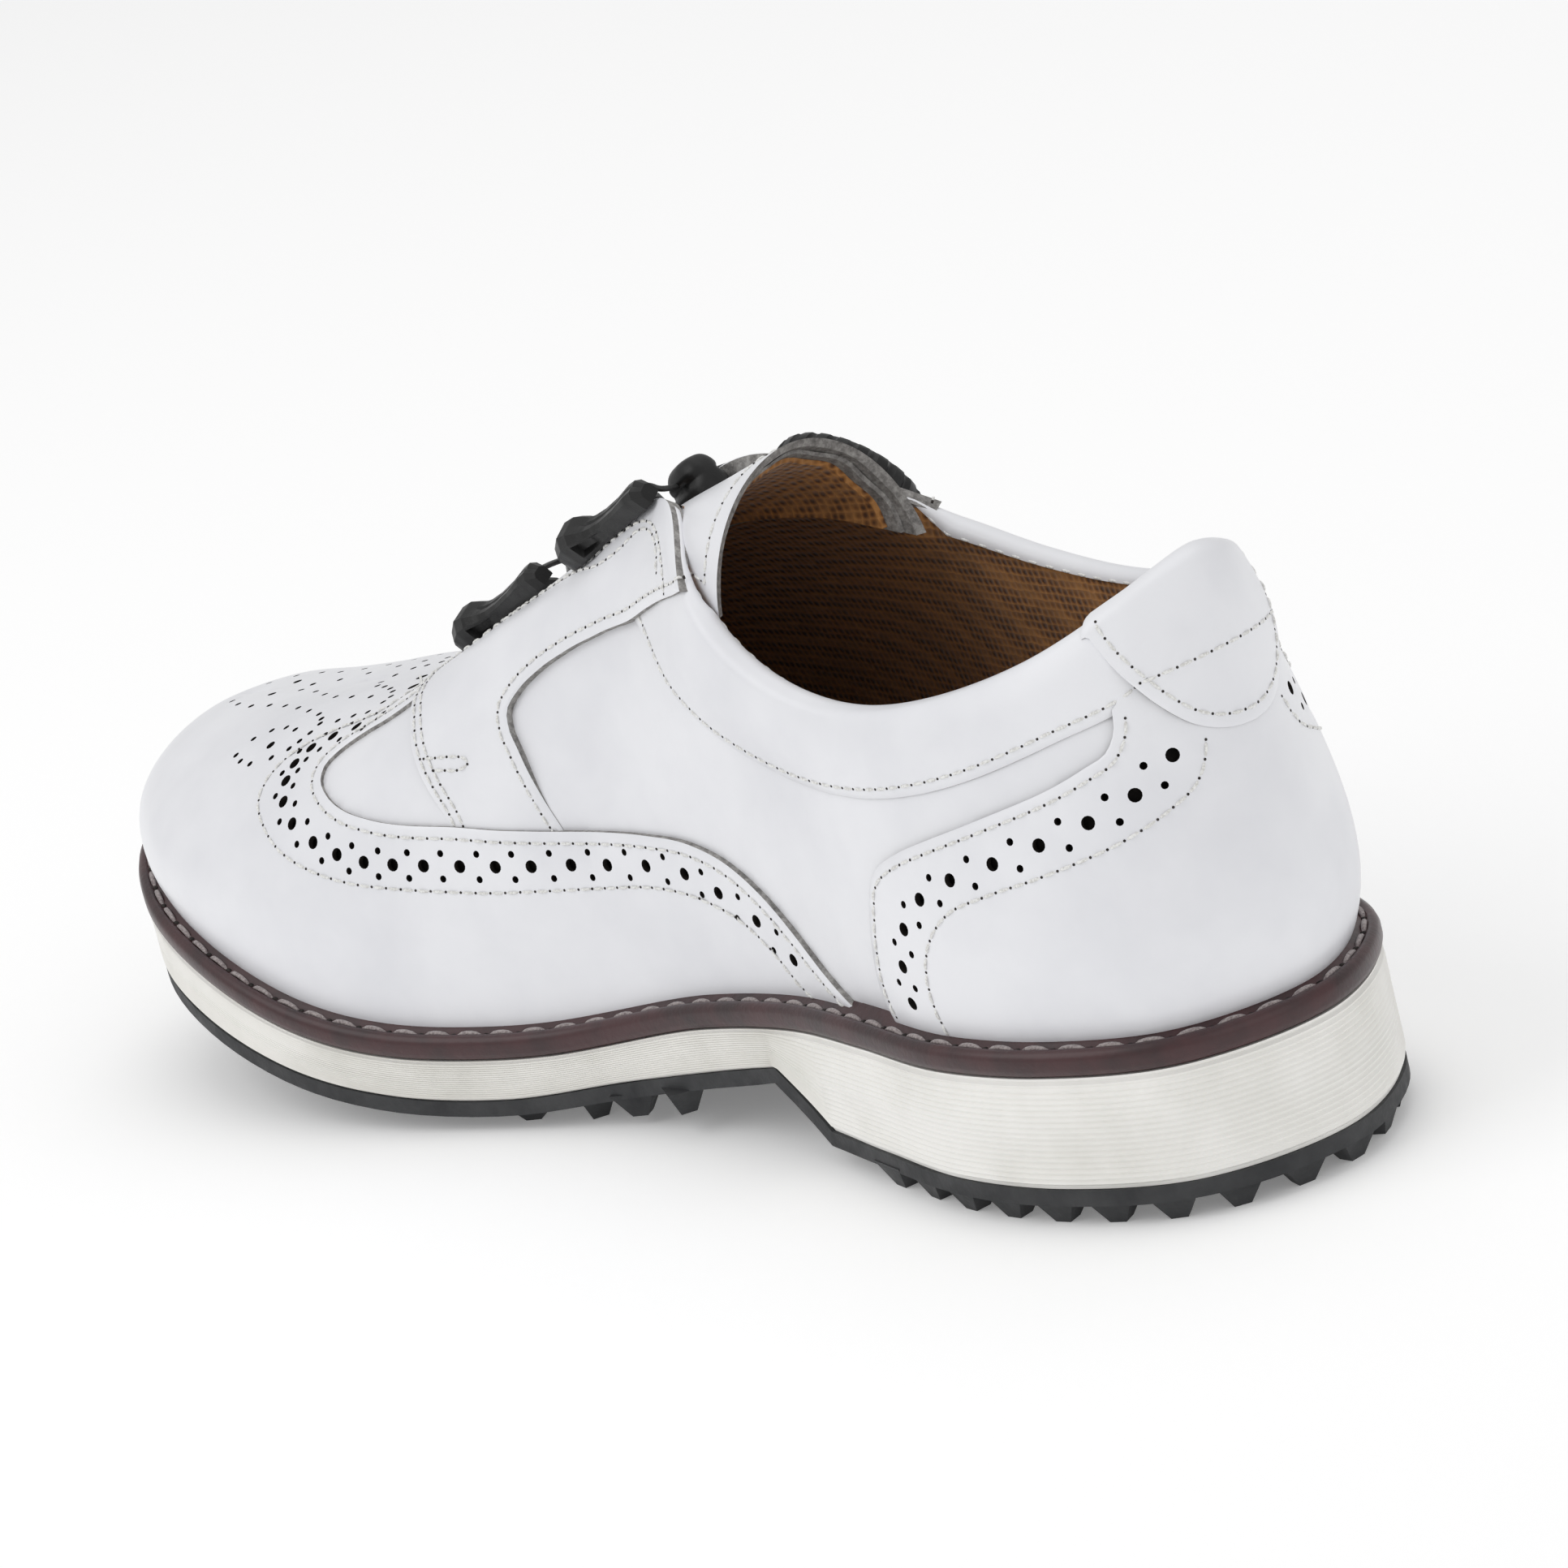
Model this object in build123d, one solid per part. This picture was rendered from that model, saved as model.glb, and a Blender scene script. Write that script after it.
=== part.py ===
"""Men's golf shoe (right foot) with a turning lace dial, built as separate pieces.

Frame: +X points to the toe, +Y to the medial (inner) side, +Z up.  The origin is on the
ground, under the middle of the shoe's box.  All sizes are in millimetres.
"""
from build123d import *
from math import atan2, cos, hypot, pi, radians, sin
import os

os.makedirs("parts", exist_ok=True)

# ---------------------------------------------------------------- driving dimensions
HALF_LENGTH = 151.0          # the welt runs from -151 to +151
WELT_THICKNESS = 5.0
WELT_LEDGE = 5.0             # how far the welt stands out past the upper
RIM_THICKNESS = 3.0          # rubber outsole under the midsole
HEEL_REST = 7.0              # height of the midsole's underside at the heel
LUG_TIP = 3.0                # flat tip of a lug
LUG_BASE = 8.5
LEATHER = 1.4
MIDDLE_LAYER = 1.5           # toe puff, heel counter, foam backing
LINING = 0.8
LAYER_GAP = 0.35
SEAT_GAP = 0.15              # upper over the welt
BOARD_THICKNESS = 2.4
SOCKLINER_THICKNESS = 4.0
SEAM = 0.03                  # gap between neighbouring panels, as a fraction of a rib
SHANK_X, SHANK_LENGTH, SHANK_WIDTH = -38.0, 112.0, 12.0
TONGUE_LEATHER = 1.2
TONGUE_FOAM = 2.4
TONGUE_LINING = 0.9

LINING_DEPTH = LEATHER + LAYER_GAP + MIDDLE_LAYER + LAYER_GAP

# Each rib of the upper: welt edge x, y; top of the rib x, y, z; fullness; end angle; bulge.
MEDIAL_RIBS = [
    (-151, 3.5, -141, 1.5, 107, 1.9, 52, 4.0),
    (-140, 31, -134.5, 17, 103, 1.9, 52, 3.5),
    (-118, 42, -119, 27, 95.5, 2.0, 50, 2.5),
    (-95, 44.5, -98, 32, 89.5, 2.0, 48, 2.0),
    (-70, 40, -77, 33.5, 87.5, 2.0, 45, 1.5),
    (-45, 34.5, -57, 32.5, 92, 2.0, 45, 1.0),
    (-20, 33, -41, 28.5, 102.5, 2.0, 48, 0.5),
    (5, 35.5, -22, 12, 114, 1.7, 62, 0.0),
    (30, 43, 3, 10, 102, 1.8, 70, 0.5),
    (55, 50.5, 30, 10, 88.5, 2.0, 76, 1.5),
    (80, 53.5, 57, 8, 74.5, 2.2, 84, 2.5),
    (105, 50.5, 82, 3.5, 69.5, 2.2, 90, 3.0),
    (125, 43, 102, 4, 66.5, 2.25, 90, 3.0),
    (140, 31, 116, 4, 65, 2.35, 90, 3.0),
    (151, 4.5, 127, 4, 63, 2.35, 90, 3.0),
]
LATERAL_RIBS = [
    (-151, 3.5, -141, 1.5, 107, 1.9, 52, 4.0),
    (-138, -22.5, -133.5, -12, 103, 1.9, 52, 4.0),
    (-110, -35, -115, -22, 94.5, 2.0, 50, 3.0),
    (-80, -36.5, -94, -26.5, 91.5, 2.0, 48, 2.0),
    (-50, -39.5, -72, -28, 93.5, 2.0, 45, 2.0),
    (-20, -45, -50, -27, 99, 2.0, 48, 2.0),
    (10, -50.5, -34, -19, 107, 1.9, 55, 1.5),
    (40, -53.5, -20, -5, 114, 1.8, 62, 1.5),
    (58, -53.5, 5, -4, 101, 1.8, 72, 2.0),
    (76, -51.5, 32, -3.5, 87.5, 2.0, 78, 2.5),
    (95, -46.5, 57, -1, 74.5, 2.0, 84, 2.0),
    (110, -41, 82, 3.5, 69.5, 2.05, 90, 2.5),
    (125, -34, 102, 4, 66.5, 2.1, 90, 2.5),
    (140, -22, 116, 4, 65, 2.35, 90, 3.0),
    (151, 4.5, 127, 4, 63, 2.35, 90, 3.0),
]
# Side profile of the sole: x, height of the welt's top.
WELT_TOP = [(-151, 32.5), (-100, 32), (-60, 31), (-20, 26.5), (20, 19.5), (60, 21), (105, 32.5), (151, 45.5)]
# Underside of the midsole in front of the heel breast.
BREAST_BOTTOM_X = -52.0
BREAST_TOP_X = -38.0
FORE_UNDERSIDE = [(-38, 16.5), (0, 10), (30, 6.2), (60, 8), (105, 17.5), (151, 29)]


# ---------------------------------------------------------------- small maths helpers
def smooth(knots, values, t):
    """Cubic curve through values at rising knots; each value is a tuple."""
    last = len(knots) - 2
    i = max(k for k in range(last + 1) if k == 0 or knots[k] <= t)
    slopes = []
    for k in (i, i + 1):
        if k == 0:
            slope = [(b - a) / (knots[1] - knots[0]) for a, b in zip(values[0], values[1])]
        elif k == len(knots) - 1:
            slope = [(b - a) / (knots[k] - knots[k - 1]) for a, b in zip(values[k - 1], values[k])]
        else:
            before = knots[k] - knots[k - 1]
            after = knots[k + 1] - knots[k]
            slope = [((b - a) / before * after + (c - b) / after * before) / (before + after)
                     for a, b, c in zip(values[k - 1], values[k], values[k + 1])]
        slopes.append(slope)
    span = knots[i + 1] - knots[i]
    s = (t - knots[i]) / span
    h00 = 2 * s**3 - 3 * s**2 + 1
    h10 = s**3 - 2 * s**2 + s
    h01 = 3 * s**2 - 2 * s**3
    h11 = s**3 - s**2
    return tuple(h00 * a + h10 * span * p + h01 * b + h11 * span * q
                 for a, p, b, q in zip(values[i], slopes[0], values[i + 1], slopes[1]))


def profile(points, x):
    """Height of a side profile at x."""
    x = min(max(x, points[0][0]), points[-1][0])
    return smooth([p[0] for p in points], [(p[1],) for p in points], x)[0]


def rib_table(ribs, other):
    """Ribs of one side with the neighbours across the heel and the toe added."""
    rows = [other[2], other[1]] + ribs + [other[-2], other[-3]]
    knots = [0.0]
    for a, b in zip(rows, rows[1:]):
        knots.append(knots[-1] + hypot(b[0] - a[0], b[1] - a[1]))
    return rows, knots


SIDES = {1: rib_table(MEDIAL_RIBS, LATERAL_RIBS), -1: rib_table(LATERAL_RIBS, MEDIAL_RIBS)}


def upper_point(u, v):
    """Point of the upper's outer face.

    u runs 0 (heel) to 1 (toe) on the medial side and on to 2 (heel) on the lateral side;
    v runs from the welt (0) to the top edge (1).
    """
    side = 1 if u % 2 <= 1 else -1
    along = u % 2 if side == 1 else 2 - u % 2
    rows, knots = SIDES[side]
    t = knots[2] + (knots[-3] - knots[2]) * along
    x, y, tx, ty, tz, fullness, end_angle, bulge = smooth(knots, rows, t)
    step = 0.05
    x0, y0 = smooth(knots, rows, t - step)[:2]
    x1, y1 = smooth(knots, rows, t + step)[:2]
    run = hypot(x1 - x0, y1 - y0)
    nx, ny = -(y1 - y0) / run * side, (x1 - x0) / run * side
    fx, fy = x - nx * WELT_LEDGE, y - ny * WELT_LEDGE
    fz = profile(WELT_TOP, fx) + SEAT_GAP
    end = radians(end_angle)
    power = 2 / fullness
    across = (1 - max(cos(end * v), 0) ** power) / (1 - max(cos(end), 0) ** power)
    rise = sin(end * v) ** power / sin(end) ** power
    swell = bulge * v * (1 - v) ** 3 * 9.48
    x = fx + (tx - fx) * across + nx * swell
    y = fy + (ty - fy) * across + ny * swell
    return Vector(x, y, fz + (tz - fz) * rise)


def inset_point(u, v, depth):
    """Point of the upper at a depth under its outer face."""
    du = 0.004
    v0, v1 = max(v - 0.02, 0.0), min(v + 0.02, 1.0)
    along = upper_point(u + du, v) - upper_point(u - du, v)
    up = upper_point(u, v1) - upper_point(u, v0)
    outward = up.cross(along).normalized()
    return upper_point(u, v) - outward * depth


def solid_from_grids(outer, inner):
    """Closed solid between two matching grids of points, with flat triangular faces."""
    columns, rows = len(outer) - 1, len(outer[0]) - 1
    corners = []
    for i in range(columns):
        for j in range(rows):
            corners.append((outer[i][j], outer[i + 1][j], outer[i + 1][j + 1], outer[i][j + 1]))
            corners.append((inner[i][j], inner[i][j + 1], inner[i + 1][j + 1], inner[i + 1][j]))
        for j in (0, rows):
            corners.append((outer[i][j], inner[i][j], inner[i + 1][j], outer[i + 1][j]))
    for i in (0, columns):
        for j in range(rows):
            corners.append((outer[i][j], outer[i][j + 1], inner[i][j + 1], inner[i][j]))
    faces = []
    for a, b, c, d in corners:
        faces.append(Face(Wire.make_polygon([a, b, c])))
        faces.append(Face(Wire.make_polygon([a, c, d])))
    solid = Solid(Shell(faces))
    return solid if solid.volume > 0 else Solid(solid.wrapped.Reversed())


def strip(start, end, low, high, depth, thickness, rows=4, columns=22):
    """One panel: a patch of the upper between two heights that change along it."""
    outer, inner = [], []
    for i in range(columns + 1):
        u = start + (end - start) * i / columns
        v_low, v_high = low(u), high(u)
        heights = [v_low + (v_high - v_low) * j / rows for j in range(rows + 1)]
        outer.append([inset_point(u, v, depth) for v in heights])
        inner.append([inset_point(u, v, depth + thickness) for v in heights])
    return solid_from_grids(outer, inner)


MEDIAL_LENGTH = 352.0        # welt edge from the heel to the toe, medial side


def line(points, mirror=False):
    """Height of a seam along the shoe, from (mm from the heel, height fraction) points."""
    knots = [p[0] / MEDIAL_LENGTH for p in points]
    values = [(p[1],) for p in points]

    def height(u):
        along = 2 - u if mirror else u
        along = min(max(along, knots[0]), knots[-1])
        return min(max(smooth(knots, values, along)[0], 0.0), 1.0)
    return height


def both_sides(points):
    """The same seam on both sides of the shoe, for a panel that wraps the toe or the heel."""
    one = line(points)

    def height(u):
        along = u % 2
        return one(along if along <= 1 else 2 - along)
    return height


def save(shape, name):
    """Write one node."""
    export_step(shape, f"parts/{name}.step")


# ---------------------------------------------------------------- sole
def outline(inset, count=56):
    """Closed plan outline of the welt, moved inward by inset."""
    points = []
    for i in range(count):
        u = 2 * i / count
        side = 1 if u <= 1 else -1
        along = u if side == 1 else 2 - u
        rows, knots = SIDES[side]
        t = knots[2] + (knots[-3] - knots[2]) * along
        x, y = smooth(knots, rows, t)[:2]
        x0, y0 = smooth(knots, rows, t - 0.05)[:2]
        x1, y1 = smooth(knots, rows, t + 0.05)[:2]
        run = hypot(x1 - x0, y1 - y0)
        points.append((x + (y1 - y0) / run * side * inset, y - (x1 - x0) / run * side * inset))
    return Face(Wire([Edge.make_spline([Vector(*q) for q in points], periodic=True)]))


def column(inset):
    """Upright prism on the plan outline."""
    return extrude(outline(inset), amount=160, dir=(0, 0, 1))


def welt_top(x):
    return profile(WELT_TOP, x)


def underside(x):
    """Underside of the midsole: flat heel, sloping breast, curved forepart."""
    if x <= BREAST_BOTTOM_X:
        return HEEL_REST
    if x < BREAST_TOP_X:
        share = (x - BREAST_BOTTOM_X) / (BREAST_TOP_X - BREAST_BOTTOM_X)
        return HEEL_REST + share * (FORE_UNDERSIDE[0][1] - HEEL_REST)
    return profile(FORE_UNDERSIDE, x)


def curve_points(height, start, end, count, shift=0.0):
    return [(start + (end - start) * i / count, height(start + (end - start) * i / count) + shift)
            for i in range(count + 1)]


def band(top, bottom):
    """Slab between two side profiles, wide enough to cut any column of the sole."""
    edges = []
    for pieces in (top, bottom):
        for piece in pieces:
            points = [Vector(x, -80, z) for x, z in piece]
            edges.append(Edge.make_spline(points) if len(points) > 2 else Edge.make_line(*points))
    first, last = top[0][0], top[-1][-1]
    low_first, low_last = bottom[0][0], bottom[-1][-1]
    edges.append(Edge.make_line(Vector(first[0], -80, first[1]), Vector(low_first[0], -80, low_first[1])))
    edges.append(Edge.make_line(Vector(last[0], -80, last[1]), Vector(low_last[0], -80, low_last[1])))
    return extrude(Face(Wire(edges)), amount=160, dir=(0, 1, 0))


def welt_curve(shift, reach=158):
    return [curve_points(welt_top, -reach, reach, 24, shift)]


def underside_curve(shift, breast_shift=0.0):
    """The three stretches of the underside, lowered by shift."""
    heel_end = (BREAST_BOTTOM_X + breast_shift, HEEL_REST + shift)
    fore_start = (BREAST_TOP_X + breast_shift, FORE_UNDERSIDE[0][1] + shift)
    fore = [fore_start] + curve_points(underside, BREAST_TOP_X + 6, 158, 14, shift)
    return [[(-158, HEEL_REST + shift), heel_end], [heel_end, fore_start], fore]


def make_sole():
    body = column(0)
    well = column(8)
    welt_slab = band(welt_curve(0), welt_curve(-WELT_THICKNESS))
    save(body & welt_slab - well, "welt")
    midsole = body & band(welt_curve(-WELT_THICKNESS - 0.2), underside_curve(0))
    save(midsole, "midsole")

    filler = column(8.3) & band(welt_curve(-0.2), welt_curve(-WELT_THICKNESS + 0.3))
    slot = Pos(SHANK_X, 0, 80) * Box(SHANK_LENGTH + 0.4, SHANK_WIDTH + 0.4, 160)
    slot &= band(welt_curve(-1.8), welt_curve(-3.6))
    save(filler - slot, "cork_filler")
    shank = Pos(SHANK_X, 0, 80) * Box(SHANK_LENGTH, SHANK_WIDTH, 160)
    save(shank & band(welt_curve(-2.0), welt_curve(-3.4)), "shank")

    inside = WELT_LEDGE + LINING_DEPTH + LINING + 0.5
    board = column(inside) & band(welt_curve(BOARD_THICKNESS), welt_curve(0.0))
    save(board, "insole_board")
    low = BOARD_THICKNESS + 0.1
    footbed = column(inside + 0.6) & band(welt_curve(low + SOCKLINER_THICKNESS), welt_curve(low))
    save(footbed, "sockliner")
    save(make_outsole(), "outsole")


def lug(x, y, turn):
    """Tapered rubber lug with a flat tip on the ground, or hanging 4 mm under the sole."""
    base = underside(x) - RIM_THICKNESS + 0.8
    tip = max(0.0, base - 0.8 - 4.2)
    height = base - tip
    foot = Plane((x, y, base), x_dir=(cos(turn), sin(turn), 0), z_dir=(0, 0, 1))
    end = Plane((x, y, tip), x_dir=(cos(turn), sin(turn), 0), z_dir=(0, 0, 1))
    wide = foot * Rectangle(LUG_BASE, LUG_BASE * 0.8)
    narrow = end * Rectangle(LUG_TIP, LUG_TIP)
    return loft([wide.face(), narrow.face()]) if height > 0.5 else None


def heel_lugs():
    """A row round the back of the heel and a block inside it."""
    places = []
    for i in range(-9, 10):
        u = (2 + i * 0.0335) % 2
        side = 1 if u <= 1 else -1
        along = u if side == 1 else 2 - u
        rows, knots = SIDES[side]
        t = knots[2] + (knots[-3] - knots[2]) * along
        x, y = smooth(knots, rows, t)[:2]
        x1, y1 = smooth(knots, rows, t + 0.1)[:2]
        turn = pi / 2 if i == 0 else atan2(y1 - y, x1 - x)
        scale = 1 - 4.6 / hypot(x + 105, y - 3.5)
        places.append((-105 + (x + 105) * scale, 3.5 + (y - 3.5) * scale, turn))
    for x in (-128, -112, -96, -80, -66):
        for y in (-12, 3.5, 19):
            places.append((x, y, 0.6 if (x // 2) % 2 else -0.6))
    return places


def fore_lugs():
    """Staggered rows under the forefoot."""
    places = []
    for k, x in enumerate(range(-8, 124, 13)):
        half = (38 if x < 20 else 43) - max(0, x - 80) * 0.42
        count = 6 if k % 2 else 5
        for j in range(count):
            y = -1.5 + half * (2 * j / (count - 1) - 1) * 0.86
            places.append((x, y, 0.5 if j % 2 else -0.5))
    return places


def make_outsole():
    plate = column(0.6) & band(underside_curve(-0.05, 0.05), underside_curve(-RIM_THICKNESS, 1.2))
    for x, y, turn in heel_lugs() + fore_lugs():
        plate += lug(x, y, turn)
    return plate


# ---------------------------------------------------------------- upper
TOE_CAP_EDGE = [(108, .02), (116, .09), (124, .19), (132, .28), (141, .33), (152, .35), (179, .36), (202, .39),
                (224, .41), (240, .45), (248, .51), (252, .60), (256, .77), (259, .89), (262, .98), (264, 1), (352, 1)]
TOE_CAP_EDGE_LIFTED = [(mm, min(height + SEAM, 1)) for mm, height in TOE_CAP_EDGE]
VAMP_TOP = [(217, .44), (220, .475), (227, .565), (233, .655), (241, .785), (250, .89), (258, .955)]
EYESTAY_LOW = [(157, .97), (165, .87), (176, .75), (188, .66), (196, .51), (203, .44), (214, .45), (220, .52),
               (227, .61), (233, .70), (241, .82), (250, .92), (256, .965)]
QUARTER_LOW = [(36, .71), (45, .65), (63, .62), (80, .57), (90, .50), (97, .38), (100, .16), (103, .01), (108, .05),
               (116, .12), (124, .22), (132, .31), (141, .36), (152, .38), (179, .39), (190, .40), (196, .415)]
QUARTER_TOP = [(36, .72), (45, .70), (75, .68), (105, .675), (144, .675), (161, .70), (174, .72), (186, .63),
               (193, .49), (196, .43)]
COLLAR_LOW = [(28, .765), (36, .75), (45, .735), (75, .715), (105, .71), (144, .71), (161, .735), (171, .755)]
COLLAR_TOP = [(28, .78), (31, .84), (35, .92), (38, 1), (147, 1), (153, .965), (162, .86), (171, .765)]
HEEL_TAB_LOW = [(0, .59), (11, .62), (19, .69), (24, .79), (29, .90), (32, .97)]
FOXING_TOP = [(0, .56), (11, .59), (19, .66), (25, .74), (31, .72), (36, .69), (45, .62), (63, .59), (80, .54),
              (88, .47), (92, .37), (94, .20)]


def at(mm):
    return mm / MEDIAL_LENGTH


def constant(value):
    return lambda u: value


def both(span, piece, top, depth=0.0, thickness=LEATHER, rows=4, columns=22):
    """The medial and the lateral piece between two seams."""
    name, low_seam = piece
    start, end = span
    for side, mirror in (("medial", False), ("lateral", True)):
        low = line(low_seam, mirror) if isinstance(low_seam, list) else constant(low_seam)
        high = line(top, mirror) if isinstance(top, list) else constant(top)
        first, last = (2 - at(end), 2 - at(start)) if mirror else (at(start), at(end))
        save(strip(first, last, low, high, depth, thickness, rows, columns), f"{side}_{name}")


def make_upper():
    cap = strip(at(110), 2 - at(110), constant(0), both_sides(TOE_CAP_EDGE), 0, LEATHER, rows=10, columns=72)
    save(cap, "wingtip_toe_cap")
    foxing = strip(2 - at(94), 2 + at(94), constant(0), both_sides(FOXING_TOP), 0, LEATHER, rows=5, columns=40)
    save(foxing, "heel_foxing")
    tab = strip(2 - at(32), 2 + at(32), both_sides(HEEL_TAB_LOW), constant(1), 0, LEATHER)
    save(tab, "heel_tab")
    both((217, 258), ("vamp_wing", TOE_CAP_EDGE_LIFTED), VAMP_TOP)
    both((157, 256), ("eyestay", EYESTAY_LOW), 1.0, rows=6, columns=26)
    both((38, 196), ("quarter", QUARTER_LOW), QUARTER_TOP, rows=5, columns=26)
    both((29, 170), ("collar", COLLAR_LOW), COLLAR_TOP)

    middle = LEATHER + LAYER_GAP
    puff = strip(at(285), 2 - at(285), constant(0), constant(.95), middle, MIDDLE_LAYER, rows=10, columns=26)
    save(puff, "toe_puff")
    counter_top = both_sides([(0, .62), (60, .54), (94, .38)])
    counter = strip(2 - at(94), 2 + at(94), constant(0), counter_top, middle, MIDDLE_LAYER, rows=6, columns=34)
    save(counter, "heel_counter")
    both((98, 281), ("backing", 0.0), .66, middle + 0.5, MIDDLE_LAYER - 0.5,
         rows=7, columns=28)
    foam_low = [(6, .68), (60, .64), (94, .69), (150, .70)]
    both((6, 148), ("collar_foam", foam_low), .97, middle, MIDDLE_LAYER)
    stay_low = [(163, .90), (180, .80), (240, .84), (252, .93)]
    both((163, 252), ("eyestay_stay", stay_low), .975, middle, MIDDLE_LAYER)
    lining = strip(at(202), 2 - at(202), constant(0), constant(.985), LINING_DEPTH, LINING, rows=10, columns=44)
    save(lining, "vamp_lining")
    both((2, 199), ("quarter_lining", 0.0), .985, LINING_DEPTH, LINING, rows=10, columns=26)


# ---------------------------------------------------------------- tongue
# Stations from the vamp to the free top: x, height of the crown, arch radius, half angle.
TONGUE = [(58, 66.5, 29, 45), (36, 78.5, 28, 42), (14, 90.8, 16, 60), (-12, 101.6, 13.5, 50), (-32, 113.6, 14, 72),
          (-48, 123, 19.5, 76)]
TONGUE_Y = 3.0


def tongue_point(t, w, depth):
    """Point of the tongue: t from the vamp to the top, w from -1 (lateral) to 1 (medial)."""
    x, crown, radius, half = smooth([i / (len(TONGUE) - 1) for i in range(len(TONGUE))], TONGUE, t)
    turn = radians(half) * w
    r = radius - depth
    return Vector(x + depth * 0.45, TONGUE_Y + r * sin(turn), crown - radius + r * cos(turn))


def tongue_layer(depth, thickness):
    grids = []
    for d in (depth, depth + thickness):
        grids.append([[tongue_point(i / 14, 2 * j / 8 - 1, d) for j in range(9)] for i in range(15)])
    return solid_from_grids(*grids)


def make_tongue():
    save(tongue_layer(0, TONGUE_LEATHER), "tongue_leather")
    save(tongue_layer(TONGUE_LEATHER + 0.3, TONGUE_FOAM), "tongue_foam")
    save(tongue_layer(TONGUE_LEATHER + TONGUE_FOAM + 0.6, TONGUE_LINING), "tongue_lining")


# ---------------------------------------------------------------- lace guides
GUIDE_WIDTH = 5.5
GUIDE_SIDE = [(0, 0), (-1, 2.5), (1, 4.6), (5.5, 6.2), (9, 6.0), (12.5, 4.6), (16, 3.8), (24, 3.8), (28, 4.0),
              (30.5, 2.6), (31, 0)]
CHANNEL = 2.4                # square lace channel in a guide
CHANNEL_HEIGHT = 2.0         # its centre above the guide's foot


def guide_frame(front, rear, normal):
    """Frame at the front foot of a guide: x along the throat edge, y across, z outward."""
    along = (rear - front).normalized()
    across = normal.cross(along).normalized()
    return Plane(front, x_dir=along, z_dir=along.cross(across))


def lace_guide(frame, length, throat_side):
    """Hooked plastic guide; the lace goes in at the rear hole and out at the front hole."""
    scale = length / 31
    side = Plane.XZ * make_face(Polyline([(x * scale, z) for x, z in GUIDE_SIDE], close=True))
    body = extrude(side, amount=GUIDE_WIDTH / 2, both=True)
    reach = GUIDE_WIDTH / 2 + 1
    front_x, rear_x = 5.0 * scale, 26.0 * scale
    for x in (front_x, rear_x):
        hole = Box(CHANNEL, reach, CHANNEL)
        body -= Pos(x, throat_side * reach / 2, CHANNEL_HEIGHT) * hole
    run = Box(rear_x - front_x + CHANNEL, CHANNEL, CHANNEL)
    body -= Pos((front_x + rear_x) / 2, 0, CHANNEL_HEIGHT) * run
    return frame * body


# Guides: name, front foot, rear foot, outward direction, side of the throat that faces it.
GUIDES = [
    ("medial_lower_guide", Vector(46.2, 11, 81.3), Vector(17.7, 11.8, 96.9), Vector(0.4, 0.42, 0.8), 1),
    ("medial_upper_guide", Vector(9, 11.4, 100.4), Vector(-19, 12.4, 114.8), Vector(0.35, 0.5, 0.78), 1),
    ("lateral_guide", Vector(32.4, -5.5, 89.5), Vector(4.4, -6.1, 103.9), Vector(0.4, -0.42, 0.8), -1),
]


def make_guides():
    for name, front, rear, normal, throat in GUIDES:
        frame = guide_frame(front, rear, normal)
        save(lace_guide(frame, (rear - front).length, throat), name)


# ---------------------------------------------------------------- lace dial
DIAL_CENTRE = Vector(-14, -28.8, 94.2)
DIAL_FRAME = Plane(DIAL_CENTRE, x_dir=Vector(1, 0, 0), z_dir=Vector(0.08, -0.83, 0.55))
FLANGE_RADIUS = 16.0
BASE_RADIUS = 13.8
HOUSING_RADIUS = 11.6
CAVITY_RADIUS = 9.6
KNOB_RADIUS = 14.6
KNOB_WALL = 1.7
KNOB_FOOT = 4.5
KNOB_CEILING = 8.8
KNOB_TOP = 10.6
KNOB_GROOVES = 22
POST_RADIUS = 2.4
BEARING_GAP = 0.06
SCREW_RADIUS = 1.1
SPOOL_RADIUS = 8.6
LACE_HEIGHT = 3.4            # the lace leaves the dial at this height above its foot


def disc(radius, low, high, bore=0.0):
    """Ring or disc on the dial's axis between two heights."""
    upward = (Align.CENTER, Align.CENTER, Align.MIN)
    shape = Pos(0, 0, low) * Cylinder(radius, high - low, align=upward)
    if bore:
        shape -= Pos(0, 0, low - 1) * Cylinder(bore, high - low + 2, align=upward)
    return shape


def make_dial_base():
    base = disc(FLANGE_RADIUS, 0.2, 1.6)
    base += disc(BASE_RADIUS, 1.6, 4.1, CAVITY_RADIUS)
    base += disc(HOUSING_RADIUS, 4.1, 6.2, CAVITY_RADIUS)
    base += disc(POST_RADIUS, 1.4, 6.4)
    base -= disc(SCREW_RADIUS + BEARING_GAP, 1.0, 9.0)
    base -= Pos(0, BASE_RADIUS - 2, LACE_HEIGHT) * Box(2.4, 9, 1.8)
    save(DIAL_FRAME * base, "dial_base")


def make_spool():
    bore = POST_RADIUS + BEARING_GAP
    spool = disc(SPOOL_RADIUS, 1.9, 2.5, bore)
    spool += disc(5.2, 2.5, 4.3, bore)
    spool += disc(SPOOL_RADIUS, 4.3, 5.0, bore)
    save(DIAL_FRAME * spool, "dial_spool")


def make_ratchet():
    """Toothed ring on a neck under the knob's top."""
    bore = POST_RADIUS + 0.3
    ratchet = disc(8.8, 5.2, 6.0, bore)
    ratchet += disc(5.4, 6.0, KNOB_CEILING - 0.02, bore)
    for i in range(12):
        ratchet += Rot(0, 0, 30 * i) * Pos(8.9, 0, 5.6) * Box(0.7, 0.8, 0.8)
    save(DIAL_FRAME * ratchet, "dial_ratchet")


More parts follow.
